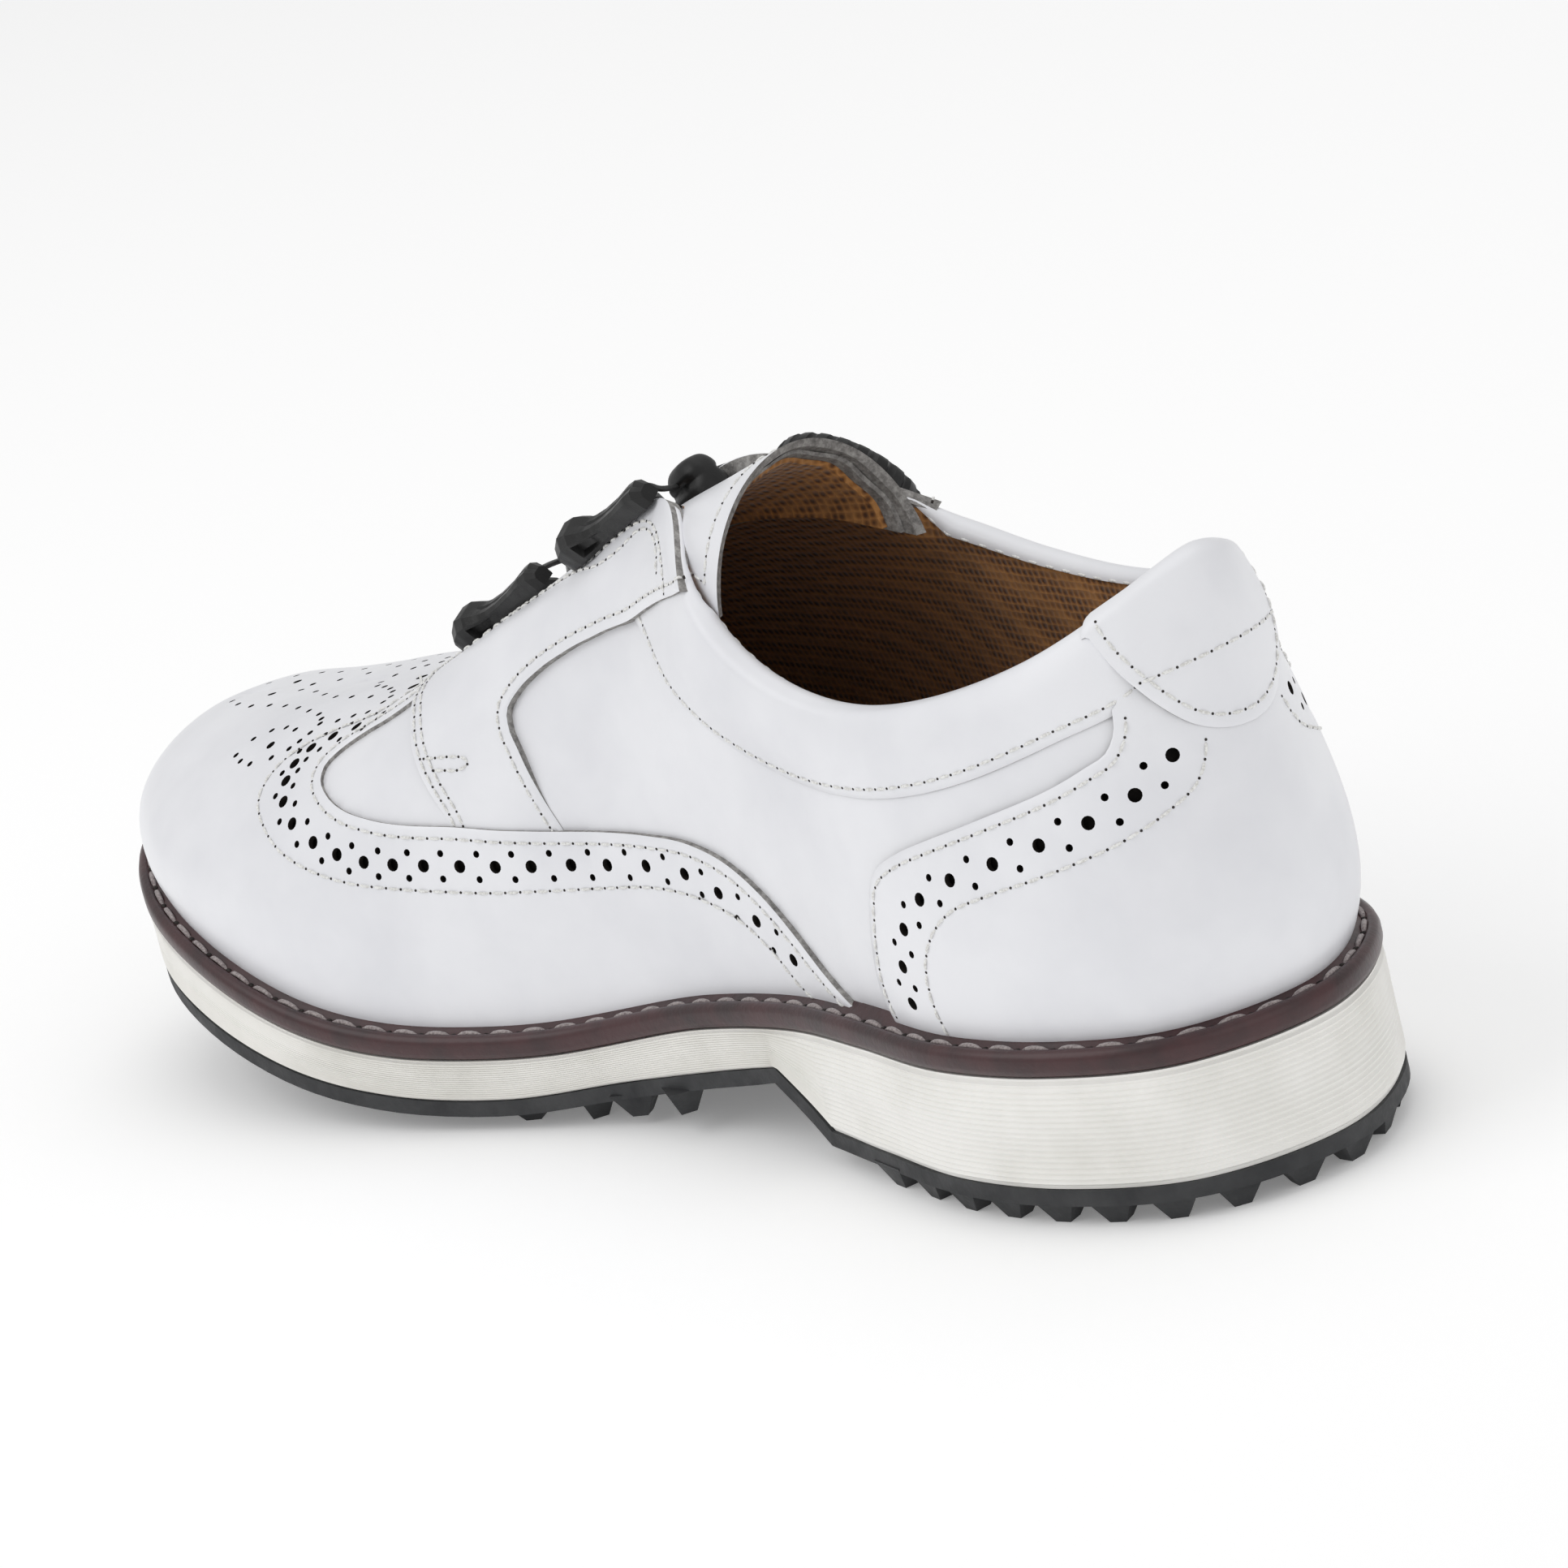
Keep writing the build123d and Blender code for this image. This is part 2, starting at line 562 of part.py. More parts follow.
def make_knob():
    knob = disc(KNOB_RADIUS, KNOB_FOOT, KNOB_TOP)
    knob -= disc(KNOB_RADIUS - KNOB_WALL, KNOB_FOOT - 1, KNOB_CEILING)
    knob -= disc(SCREW_RADIUS + BEARING_GAP, 5, 12)
    knob -= disc(3.4, 9.6, 12)
    groove = Pos(KNOB_RADIUS + 0.7, 0, 0) * disc(1.4, 1, 13)
    for i in range(KNOB_GROOVES):
        knob -= Rot(0, 0, 360 / KNOB_GROOVES * i) * groove
    save(DIAL_FRAME * knob, "dial_knob")


def make_screw():
    screw = disc(3.2, 9.6 + BEARING_GAP, 10.5)
    screw += disc(SCREW_RADIUS, 2.0, 9.7)
    screw -= Pos(0, 0, 10.2) * Box(4.4, 0.7, 0.8)
    save(DIAL_FRAME * screw, "dial_screw")


def make_dial():
    make_dial_base()
    make_spool()
    make_ratchet()
    make_knob()
    make_screw()


# ---------------------------------------------------------------- lace, tongue guide and anchor
LACE_RADIUS = 0.55
TONGUE_GUIDE = Plane(
    Vector(-19.5, 1, 106.9), x_dir=Vector(0.857, 0, -0.515), z_dir=Vector(0.515, 0, 0.857))
ANCHOR = Plane(Vector(45.7, -5.8, 82.5), x_dir=Vector(-0.87, 0, 0.48), z_dir=Vector(0.4, -0.42, 0.8))
# The lace, from the dial's spool to the anchor on the lateral eyestay.
LACE = [
    (-13.7, -28.1, 101.4), (-13.7, -22.8, 109.4), (-16, -7.5, 113.5), (-16, 7.4, 113.5),
    (-12.8, 9.4, 116.0), (-13.7, 13.2, 114.0), (5.3, 12.6, 104.2), (6.1, 9.2, 106.0),
    (10.3, -3.4, 104.6), (9.7, -6.9, 103.2), (28.7, -6.5, 93.4), (29.3, -3.0, 94.9),
    (23.9, 9.0, 97.4), (23.2, 12.5, 96.0), (42.5, 12.0, 85.4), (43.2, 8.5, 86.9),
    (47.5, -3.0, 85.9), (46.9, -5.6, 84.8),
]
LACE_BENDS = [2.5, 4, 4, 1, 1, 1.2, 1.2, 1.2, 1.2, 1.2, 1.2, 1.2, 1.2, 1.2, 1.2, 1.2]


def make_lace():
    route = FilletPolyline(*LACE, radius=LACE_BENDS)
    print("lace bends", LACE_BENDS, "length", round(route.length, 1))
    section = Plane(route @ 0, z_dir=route % 0) * Circle(LACE_RADIUS)
    save(sweep(section, path=route, transition=Transition.ROUND), "lace_cable")

    upward = (Align.CENTER, Align.CENTER, Align.MIN)
    dome = Box(11, 8, 10.6, align=upward)
    dome = chamfer(dome.edges().group_by(Axis.Z)[-1], 2.2)
    dome -= Pos(-0.5, 0, 7.6) * Box(2.6, 16, 2.6)
    save(TONGUE_GUIDE * dome, "tongue_guide")

    anchor = Pos(0, 0, 0.3) * Box(10, 5.5, 4.4, align=upward)
    anchor = chamfer(anchor.edges().group_by(Axis.Z)[-1], 0.8)
    anchor -= Pos(0, -2.2, 2.3) * Box(2.6, 5.2, 2.6)
    save(ANCHOR * anchor, "lateral_anchor")


make_sole()
make_upper()
make_tongue()
make_guides()
make_dial()
make_lace()
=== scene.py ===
import math

import bmesh
import bpy
import numpy as np
from mathutils import Matrix, Vector
from mathutils.geometry import delaunay_2d_cdt


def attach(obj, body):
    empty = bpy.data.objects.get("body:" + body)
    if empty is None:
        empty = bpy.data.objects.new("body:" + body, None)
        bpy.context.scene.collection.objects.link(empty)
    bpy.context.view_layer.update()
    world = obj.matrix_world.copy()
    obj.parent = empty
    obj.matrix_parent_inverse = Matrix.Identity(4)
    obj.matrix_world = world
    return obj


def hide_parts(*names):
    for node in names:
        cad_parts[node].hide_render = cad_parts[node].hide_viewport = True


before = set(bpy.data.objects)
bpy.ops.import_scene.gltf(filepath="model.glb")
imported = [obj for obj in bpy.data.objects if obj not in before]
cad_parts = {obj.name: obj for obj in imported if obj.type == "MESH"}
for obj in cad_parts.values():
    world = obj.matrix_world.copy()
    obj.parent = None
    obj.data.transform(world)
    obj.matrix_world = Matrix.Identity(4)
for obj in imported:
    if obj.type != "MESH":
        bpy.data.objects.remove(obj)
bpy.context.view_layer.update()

MM = 0.001

# ---------------------------------------------------------------- driving dimensions
WELT_LEDGE = 5.0
SIDE_LENGTH = 352.0          # welt edge from the heel to the toe on one side
LOOP = 2 * SIDE_LENGTH
HEEL_REST = 7.0
WELT_THICKNESS = 5.0
LINING_DEPTH = 4.25          # lining's face below the outside of the upper
LEATHER = 1.3
UNDER_LEATHER = 1.2          # quarter, vamp and collar
OVERLAY = 0.75               # how far a top panel stands over the panel below it
EYESTAY_LIFT = 1.2           # the eyestay lies over the vamp and the collar
EDGE_DROP = 0.3              # how far a panel's rim is turned down
HOLE_DROP, RIM_INSET = 0.12, 0.45    # edge of a punched hole; second row of points behind the rim
UNDERLAP = 1.6               # how far the quarter and the vamp reach under the wing
QUARTER_LIFT, VAMP_LIFT = -0.55, -0.25
EYESTAY_THICKNESS = 2.6
SHADE_SHEET_FACE, SHADE_SHEET_BACK = -1.45, -1.9  # dark sheet behind the punched holes: painted shade seen through them
COLLAR_PADDING, TAB_PADDING = 1.5, 1.3
COLLAR_ROLL = 2.3            # radius of the rolled top line
THROAT_ROLL = 0.6            # its radius along the throat
ROLLED_LENGTH = 176          # the top line is rolled up to here from the heel
ROLL_END = math.radians(166)  # where the collar leather meets the lining
TOE_MIDDLE = 4.0             # y of the toe's middle line
THROAT_END_X, TOE_X = 57.0, 126.9
STITCH_PITCH, STITCH_LENGTH, THREAD, NEEDLE = 3.2, 2.5, 0.27, 0.26
ON_TOP = OVERLAY + 0.02      # where threads lie on a top panel
BIG_HOLE, SMALL_HOLE = 1.22, 0.68    # radii of the punched holes
POINT_SPACING = 2.4          # inside a leather panel
V_SCALE = 60.0               # turns v into about millimetres

# Welt edge x, y; top of the rib x, y, z; fullness; end angle; bulge.
MEDIAL_RIBS = [
    (-151, 3.5, -141, 1.5, 107, 1.9, 52, 4.0),
    (-140, 31, -134.5, 17, 103, 1.9, 52, 3.5),
    (-118, 42, -119, 27, 95.5, 2.0, 50, 2.5),
    (-95, 44.5, -98, 32, 89.5, 2.0, 48, 2.0),
    (-70, 40, -77, 33.5, 87.5, 2.0, 45, 1.5),
    (-45, 34.5, -57, 32.5, 92, 2.0, 45, 1.0),
    (-20, 33, -41, 28.5, 102.5, 2.0, 48, 0.5),
    (5, 35.5, -22, 12, 114, 1.7, 62, 0.0),
    (30, 43, 3, 10, 102, 1.8, 70, 0.5),
    (55, 50.5, 30, 10, 88.5, 2.0, 76, 1.5),
    (80, 53.5, 57, 8, 74.5, 2.2, 84, 2.5),
    (105, 50.5, 82, 3.5, 69.5, 2.2, 90, 3.0),
    (125, 43, 102, 4, 66.5, 2.25, 90, 3.0),
    (140, 31, 116, 4, 65, 2.35, 90, 3.0),
    (151, 4.5, 127, 4, 63, 2.35, 90, 3.0),
]
LATERAL_RIBS = [
    (-151, 3.5, -141, 1.5, 107, 1.9, 52, 4.0),
    (-138, -22.5, -133.5, -12, 103, 1.9, 52, 4.0),
    (-110, -35, -115, -22, 94.5, 2.0, 50, 3.0),
    (-80, -36.5, -94, -26.5, 91.5, 2.0, 48, 2.0),
    (-50, -39.5, -72, -28, 93.5, 2.0, 45, 2.0),
    (-20, -45, -50, -27, 99, 2.0, 48, 2.0),
    (10, -50.5, -34, -19, 107, 1.9, 55, 1.5),
    (40, -53.5, -20, -5, 114, 1.8, 62, 1.5),
    (58, -53.5, 5, -4, 101, 1.8, 72, 2.0),
    (76, -51.5, 32, -3.5, 87.5, 2.0, 78, 2.5),
    (95, -46.5, 57, -1, 74.5, 2.0, 84, 2.0),
    (110, -41, 82, 3.5, 69.5, 2.05, 90, 2.5),
    (125, -34, 102, 4, 66.5, 2.1, 90, 2.5),
    (140, -22, 116, 4, 65, 2.35, 90, 3.0),
    (151, 4.5, 127, 4, 63, 2.35, 90, 3.0),
]
WELT_TOP = [(-151, 32.5), (-100, 32), (-60, 31), (-20, 26.5), (20, 19.5), (60, 21), (105, 32.5), (151, 45.5)]
BREAST_BOTTOM_X, BREAST_TOP_X = -52.0, -38.0
FORE_UNDERSIDE = [(-38, 16.5), (0, 10), (30, 6.2), (60, 8), (105, 17.5), (151, 29)]


# ---------------------------------------------------------------- small helpers
def unit(vectors):
    return vectors / np.linalg.norm(vectors, axis=-1, keepdims=True)


def ease(share):
    """Smooth step from 0 to 1."""
    share = np.clip(share, 0, 1)
    return share * share * (3 - 2 * share)


def run_length(points):
    """Distance travelled at each point of a line."""
    return np.concatenate([[0], np.cumsum(np.linalg.norm(np.diff(points, axis=0), axis=1))])


def read_at(at, run, table):
    """Rows of a table read at distances along its line."""
    return np.stack([np.interp(at, run, column) for column in table.T], -1)


def circle(count):
    """Cosines and sines of even turns."""
    turn = 2 * np.pi * np.arange(count) / count
    return np.cos(turn), np.sin(turn)


def from_heel(s):
    """Distance along the welt from the heel, on either side."""
    s = np.asarray(s, float) % LOOP
    return np.minimum(s, LOOP - s)


def smooth(knots, values, t):
    """Cubic curve through rows of values at rising knots, for an array of t."""
    knots, values = np.asarray(knots, float), np.asarray(values, float)
    t = np.atleast_1d(np.asarray(t, float))
    gaps = np.diff(knots)[:, None]
    steps = np.diff(values, axis=0) / gaps
    slopes = np.empty_like(values)
    slopes[0], slopes[-1] = steps[0], steps[-1]
    slopes[1:-1] = (steps[:-1] * gaps[1:] + steps[1:] * gaps[:-1]) / (gaps[1:] + gaps[:-1])
    i = np.clip(np.searchsorted(knots, t, side="right") - 1, 0, len(knots) - 2)
    span = gaps[i]
    s = (t - knots[i])[:, None] / span
    return ((2 * s**3 - 3 * s**2 + 1) * values[i] + (s**3 - 2 * s**2 + s) * span * slopes[i]
            + (3 * s**2 - 2 * s**3) * values[i + 1] + (s**3 - s**2) * span * slopes[i + 1])


def profile(points, x):
    """Height of a smooth line through (x, z) points."""
    x = np.clip(x, points[0][0], points[-1][0])
    return smooth([p[0] for p in points], [[p[1]] for p in points], x)[:, 0]


# ---------------------------------------------------------------- surface of the upper
def rib_table(ribs, other):
    """Ribs of one side with two of the other's at each end, and their places along the welt."""
    rows = [other[2], other[1]] + ribs + [other[-2], other[-3]]
    knots = [0.0]
    for a, b in zip(rows, rows[1:]):
        knots.append(knots[-1] + math.hypot(b[0] - a[0], b[1] - a[1]))
    return np.array(rows, float), np.array(knots)


SIDES = {1: rib_table(MEDIAL_RIBS, LATERAL_RIBS), -1: rib_table(LATERAL_RIBS, MEDIAL_RIBS)}


def by_side(u):
    """For each side: which of the places u (0 to 2 round the shoe) it has, its ribs, and where they are read."""
    u = u % 2
    for side, (rows, knots) in SIDES.items():
        chosen = (u <= 1) if side == 1 else (u > 1)
        along = u[chosen] if side == 1 else 2 - u[chosen]
        yield side, chosen, rows, knots, knots[2] + (knots[-3] - knots[2]) * along


def welt_edge(u):
    """Plan outline of the welt and its outward direction at u."""
    u = np.atleast_1d(np.asarray(u, float))
    out = np.zeros((len(u), 4))
    for side, chosen, rows, knots, t in by_side(u):
        run = unit(smooth(knots, rows[:, :2], t + 0.05) - smooth(knots, rows[:, :2], t - 0.05))
        out[chosen, :2] = smooth(knots, rows[:, :2], t)
        out[chosen, 2] = -run[:, 1] * side
        out[chosen, 3] = run[:, 0] * side
    return out


BULGE_SCALE = 9.48           # makes v (1 - v)^3 peak at one


def rib_surface(u, v):
    """Points of the upper for arrays u (0 to 2) and v (0 to 1), as a grid."""
    edge = welt_edge(u)
    grid = np.zeros((len(u), len(v), 3))
    for _, chosen, rows, knots, t in by_side(u):
        row = smooth(knots, rows, t)
        outward = edge[chosen][:, None, 2:]
        foot = edge[chosen, :2] - edge[chosen, 2:] * WELT_LEDGE
        foot_z = profile(WELT_TOP, foot[:, 0])[:, None] + 0.15
        end, power = np.radians(row[:, 6:7]), 2 / row[:, 5:6]
        angle = end * v
        across = (1 - np.maximum(np.cos(angle), 0)**power) / (1 - np.maximum(np.cos(end), 0)**power)
        rise = np.sin(angle)**power / np.sin(end)**power
        swell = row[:, 7:8] * v * (1 - v)**3 * BULGE_SCALE
        grid[chosen, :, :2] = (foot[:, None] + (row[:, None, 2:4] - foot[:, None]) * across[..., None]
                               + outward * swell[..., None])
        grid[chosen, :, 2] = foot_z + (row[:, 4:5] - foot_z) * rise
    return grid


def close_throat(grid, v):
    """In front of the throat both sides are drawn to one middle line, so that the toe is closed."""
    top = grid[:, -1]
    half = len(grid) // 2
    medial, lateral = top[:half + 1], top[half:][::-1]
    shift = np.zeros_like(top)
    for part, other, place in ((medial, lateral, slice(0, half + 1)), (lateral, medial, slice(half, None))):
        line = other[other[:, 0] > 20]
        line = line[np.argsort(line[:, 0])]
        match = np.column_stack([part[:, 0], read_at(part[:, 0], line[:, 0], line[:, 1:])])
        move = (match - part) / 2 * ease((part[:, 0] - 50) / 9)[:, None]
        shift[place] = move if place.start == 0 else move[::-1]
    return grid + shift[:, None, :] * ease((v - 0.72) / 0.28)[None, :, None]


COLUMNS, ROWS = 1408, 240
V_LINE = np.linspace(0, 1, ROWS + 1)
POINTS = close_throat(rib_surface(np.linspace(0, 2, COLUMNS + 1), V_LINE), V_LINE)
ALONG = np.gradient(POINTS, LOOP / COLUMNS, axis=0)
UP = np.gradient(POINTS, 1 / ROWS, axis=1)
ALONG[0] = ALONG[-1] = (POINTS[1] - POINTS[-2]) / (2 * LOOP / COLUMNS)
NORMALS = unit(np.cross(UP, ALONG))
HEIGHTS = np.linalg.norm(np.diff(POINTS, axis=1), axis=2).sum(1)


def look_up(table, s, v):
    """Bilinear reading of a grid at (s, v)."""
    i = (np.asarray(s, float) % LOOP) / LOOP * COLUMNS
    j = np.clip(np.asarray(v, float), 0, 1) * ROWS
    i0 = np.clip(np.floor(i).astype(int), 0, COLUMNS - 1)
    j0 = np.clip(np.floor(j).astype(int), 0, ROWS - 1)
    a, b = (i - i0)[..., None], (j - j0)[..., None]
    return ((table[i0, j0] * (1 - a) + table[i0 + 1, j0] * a) * (1 - b)
            + (table[i0, j0 + 1] * (1 - a) + table[i0 + 1, j0 + 1] * a) * b)


def rib_height(s):
    return np.interp(np.asarray(s, float) % LOOP, np.linspace(0, LOOP, COLUMNS + 1), HEIGHTS)


def collar_radius(s):
    """Radius of the rolled top line: padded round the ankle, thin along the throat."""
    return COLLAR_ROLL - (COLLAR_ROLL - THROAT_ROLL) * np.clip((from_heel(s) - 150) / 14, 0, 1)


def skin(s, v, lift=0.0):
    """Point over the upper's surface; above v = 1 the surface rolls over the top line."""
    s, v, lift = (np.asarray(value, float) for value in (s, v, lift))
    radius, height = collar_radius(s), rib_height(s)
    rolled = from_heel(s) < ROLLED_LENGTH
    start = np.where(rolled, 1 - radius / height, 1.0)
    low = np.minimum(v, start)
    base, normal, up = look_up(POINTS, s, low), unit(look_up(NORMALS, s, low)), unit(look_up(UP, s, low))
    angle = (np.maximum(v - start, 0) * height / radius * rolled)[..., None]
    centre = base - normal * radius[..., None]
    turned = centre + (radius + lift)[..., None] * (normal * np.cos(angle) + up * np.sin(angle))
    return np.where(angle > 0, turned, base + normal * lift[..., None])


def flat_skin(s, v, lift=0.0):
    """Point over the upper's surface without the roll at the top line."""
    return look_up(POINTS, s, v) + unit(look_up(NORMALS, s, v)) * np.asarray(lift, float)[..., None]


def step_by(s, v, vector):
    """Change of s and v that moves by a vector along the surface."""
    a, b = look_up(ALONG, s, v), look_up(UP, s, v)
    aa, ab, bb = (a * a).sum(-1), (a * b).sum(-1), (b * b).sum(-1)
    va, vb = (vector * a).sum(-1), (vector * b).sum(-1)
    det = aa * bb - ab * ab
    return (va * bb - vb * ab) / det, (vb * aa - va * ab) / det


# ---------------------------------------------------------------- curves on the surface
def even(curve, pitch):
    """The (s, v) curve at even steps of about one pitch."""
    run = run_length(skin(curve[:, 0], curve[:, 1]))
    count = max(2, int(round(run[-1] / pitch)) + 1)
    return read_at(np.linspace(0, run[-1], count), run, curve)


def through(points):
    """Smooth curve through (s, v) points, with even steps of 1.5 mm."""
    p = np.array(points, float)
    gaps = np.maximum(np.linalg.norm(np.diff(p * [1, V_SCALE], axis=0), axis=1), 1e-6)**0.7
    knots = np.concatenate([[0], np.cumsum(gaps)])
    return even(smooth(knots, p, np.linspace(0, knots[-1], 40 * len(p))), 1.5)


def polyline(corners, step=1.6):
    """Line through (s, v) corners with straight runs and even steps."""
    corners = np.array(corners, float)
    out = []
    for a, b in zip(corners, corners[1:]):
        count = max(1, int(round(np.linalg.norm((b - a) * [1, V_SCALE]) / step)))
        out += [a + (b - a) * k / count for k in range(count)]
    return np.array(out + [corners[-1]])


def mirrored(points):
    """The same (s, v) points on the other side of the shoe, in reverse order."""
    return (np.array(points, float) * [-1, 1] + [LOOP, 0])[::-1]


def beside(curve, distance):
    """Curve moved sideways on the surface; positive is to the left of its direction."""
    s, v = curve[:, 0], np.minimum(curve[:, 1], 1)
    run = unit(np.gradient(skin(s, v), axis=0))
    ds, dv = step_by(s, v, np.cross(run, look_up(NORMALS, s, v)) * distance)
    return curve + np.stack([ds, dv], 1)


def inside(points, loop):
    """Which points lie inside a closed loop."""
    x, y = points[:, :1], points[:, 1:]
    (x0, y0), (x1, y1) = loop.T, np.roll(loop, -1, axis=0).T
    crosses = (y0 > y) != (y1 > y)
    safe = np.where(np.abs(y1 - y0) < 1e-12, 1e-12, y1 - y0)
    left = x < (x1 - x0) * (y - y0) / safe + x0
    return (crosses & left).sum(1) % 2 == 1


def distance_to_loop(points, loop):
    """Smallest distance from each point to a closed loop."""
    best = np.full(len(points), 1e9)
    for p0, p1 in zip(loop, np.roll(loop, -1, axis=0)):
        d = p1 - p0
        t = np.clip(((points - p0) @ d) / max(d @ d, 1e-12), 0, 1)
        best = np.minimum(best, np.linalg.norm(points - p0 - t[:, None] * d, axis=1))
    return best


# ---------------------------------------------------------------- Blender objects
def link(name, mesh, body="shoe", stands_for=()):
    piece = bpy.data.objects.new(name, mesh)
    bpy.context.scene.collection.objects.link(piece)
    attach(piece, body)
    if stands_for:
        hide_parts(*stands_for)
    return piece


def turn_outwards(mesh, merge=0.0, merged=lambda point: True):
    """Merges near points, removes loose ones and turns the faces outwards."""
    bm = bmesh.new()
    bm.from_mesh(mesh)
    if merge:
        bmesh.ops.remove_doubles(bm, verts=[p for p in bm.verts if merged(p)], dist=merge)
    bmesh.ops.delete(bm, geom=[p for p in bm.verts if not p.link_faces], context="VERTS")
    bmesh.ops.recalc_face_normals(bm, faces=bm.faces)
    bm.to_mesh(mesh)
    bm.free()


def mesh_from(name, vertices, faces, materials, indices=None, merge=1e-6, sharp=None):
    """Smooth-shaded mesh in metres from points in millimetres, with edges over an angle kept sharp."""
    mesh = bpy.data.meshes.new(name)
    mesh.from_pydata([tuple(p * MM) for p in np.asarray(vertices, float)], [], [tuple(f) for f in faces])
    for material in materials:
        mesh.materials.append(material)
    if indices is not None:
        mesh.polygons.foreach_set("material_index", indices)
    mesh.polygons.foreach_set("use_smooth", [True] * len(mesh.polygons))
    mesh.update()
    turn_outwards(mesh, merge)
    if sharp:
        mesh.set_sharp_from_angle(angle=math.radians(sharp))
    return mesh


def on_middle_line(flat):
    """Which points of the flat pattern lie on the toe's middle line, from the throat to the welt."""
    return (np.abs(flat[:, 1] - V_SCALE) < 1e-6) | (np.abs(flat[:, 0] - SIDE_LENGTH) < 1e-3)


def hole_loop(s, v, radius):
    """Round hole about a place on the surface, as a loop of the flat pattern."""
    along, up = look_up(ALONG, s, v), look_up(UP, s, v)
    first = unit(along)
    second = np.cross(unit(np.cross(up, along)), first)
    count = 14 if radius > 1 else 10
    cos, sin = circle(count)
    ring = radius * (cos[:, None] * first + sin[:, None] * second)
    ds, dv = step_by(np.full(count, s), np.full(count, v), ring)
    return np.stack([s + ds, (v + dv) * V_SCALE], 1)


def fill_points(flat, loops):
    """Staggered points inside the outline, clear of its edge and of the holes."""
    low, high = flat.min(0), flat.max(0)
    grid = np.array([(x + (POINT_SPACING / 2 if k % 2 else 0), y)
                     for k, y in enumerate(np.arange(low[1], high[1], POINT_SPACING * 0.87))
                     for x in np.arange(low[0], high[0], POINT_SPACING)])
    grid = grid[inside(grid, flat)]
    grid = grid[distance_to_loop(grid, flat) > POINT_SPACING * 0.45]
    for loop in loops:
        centre = loop.mean(0)
        reach = np.linalg.norm(loop - centre, axis=1).max() + POINT_SPACING * 0.22
        grid = grid[np.linalg.norm(grid - centre, axis=1) > reach]
    return grid


EDGE, RIM, HOLE, FILL = range(4)     # kinds of point in a panel's pattern


def cut_pattern(flat, holes, ridge):
    """Points, their kinds and triangles of a flat pattern with holes."""
    run = unit(np.roll(flat, -1, axis=0) - np.roll(flat, 1, axis=0))
    rim = flat + np.stack([-run[:, 1], run[:, 0]], 1) * RIM_INSET
    keep = inside(rim, flat) & (distance_to_loop(rim, flat) > 0.25) & ~(on_middle_line(flat) & ridge)
    loops = [loop for loop in (hole_loop(*hole) for hole in holes) if inside(loop, flat).all()]
    parts = [flat, rim[keep], *loops, fill_points(flat, loops)]
    kinds = np.repeat([EDGE, RIM] + [HOLE] * len(loops) + [FILL], [len(part) for part in parts])
    edges, first = [], 0
    for part, kind in zip(parts, [EDGE, RIM] + [HOLE] * len(loops)):
        if kind != RIM:
            edges += [(first + i, first + (i + 1) % len(part)) for i in range(len(part))]
        first += len(part)
    cut = delaunay_2d_cdt([Vector(p) for p in np.vstack(parts)], edges, [], 0, 1e-7)
    coords = np.array([tuple(p) for p in cut[0]])
    kinds = np.array([min((kinds[k] for k in origins), default=FILL) for origins in cut[3]])
    triangles = np.array([face for face in cut[2] if len(face) == 3])
    middle = coords[triangles].mean(1)
    good = inside(middle, flat)
    for loop in loops:
        near = np.where(np.linalg.norm(middle - loop.mean(0), axis=1) < 6)[0]
        good[near[inside(middle[near], loop)]] = False
    return coords, kinds, triangles[good]


def panel(name, outline, lift, thickness, holes=(), stands_for=(), pad=None, ridge=False, surface=skin):
    """Leather panel cut on an (s, v) outline, with punched holes, a turned-down rim and a raw edge; the walls of the
    holes carry painted shade.

    pad(s, v) adds to the lift.  With ridge, the cut along the toe's middle line is left open for a weld.
    """
    flat = np.array(outline, float) * [1, V_SCALE]
    after = np.roll(flat, -1, axis=0)
    if np.sum(flat[:, 0] * after[:, 1] - after[:, 0] * flat[:, 1]) < 0:
        flat = flat[::-1]
    coords, kinds, triangles = cut_pattern(flat, holes, ridge)
    s, v = coords[:, 0], coords[:, 1] / V_SCALE
    raised = lift + (pad(s, v) if pad else np.zeros(len(s)))
    welded = on_middle_line(coords) & ridge
    face_lift = raised - np.where((kinds == EDGE) & ~welded, EDGE_DROP, 0) - np.where(kinds == HOLE, HOLE_DROP, 0)
    vertices = np.vstack([surface(s, v, face_lift), surface(s, v, raised - thickness)])
    count = len(coords)
    faces = [tuple(t) for t in triangles] + [tuple(t[::-1] + count) for t in triangles]
    marks = [0] * len(triangles) + [1] * len(triangles)
    directed = dict.fromkeys(pair for t in triangles for pair in ((t[0], t[1]), (t[1], t[2]), (t[2], t[0])))
    for a, b in directed:
        if (b, a) not in directed and not (welded[a] and welded[b]):
            faces.append((b, a, a + count, b + count))
            # walls of punched holes take the third material, near-black painted shade
            marks.append(2 if kinds[a] == HOLE and kinds[b] == HOLE else 1)
    mesh = mesh_from(name, vertices, faces, LEATHER_SET, marks, merge=0, sharp=40)
    return link(name, mesh, stands_for=stands_for)


def grid_faces(rows, columns, wrap_rows=False, wrap_columns=False):
    """Quads between neighbouring points of a grid that is stored row by row."""
    faces = []
    for i in range(rows if wrap_rows else rows - 1):
        here, ahead = i * columns, (i + 1) % rows * columns
        for j in range(columns if wrap_columns else columns - 1):
            k = (j + 1) % columns
            faces.append((here + j, ahead + j, ahead + k, here + k))
    return faces


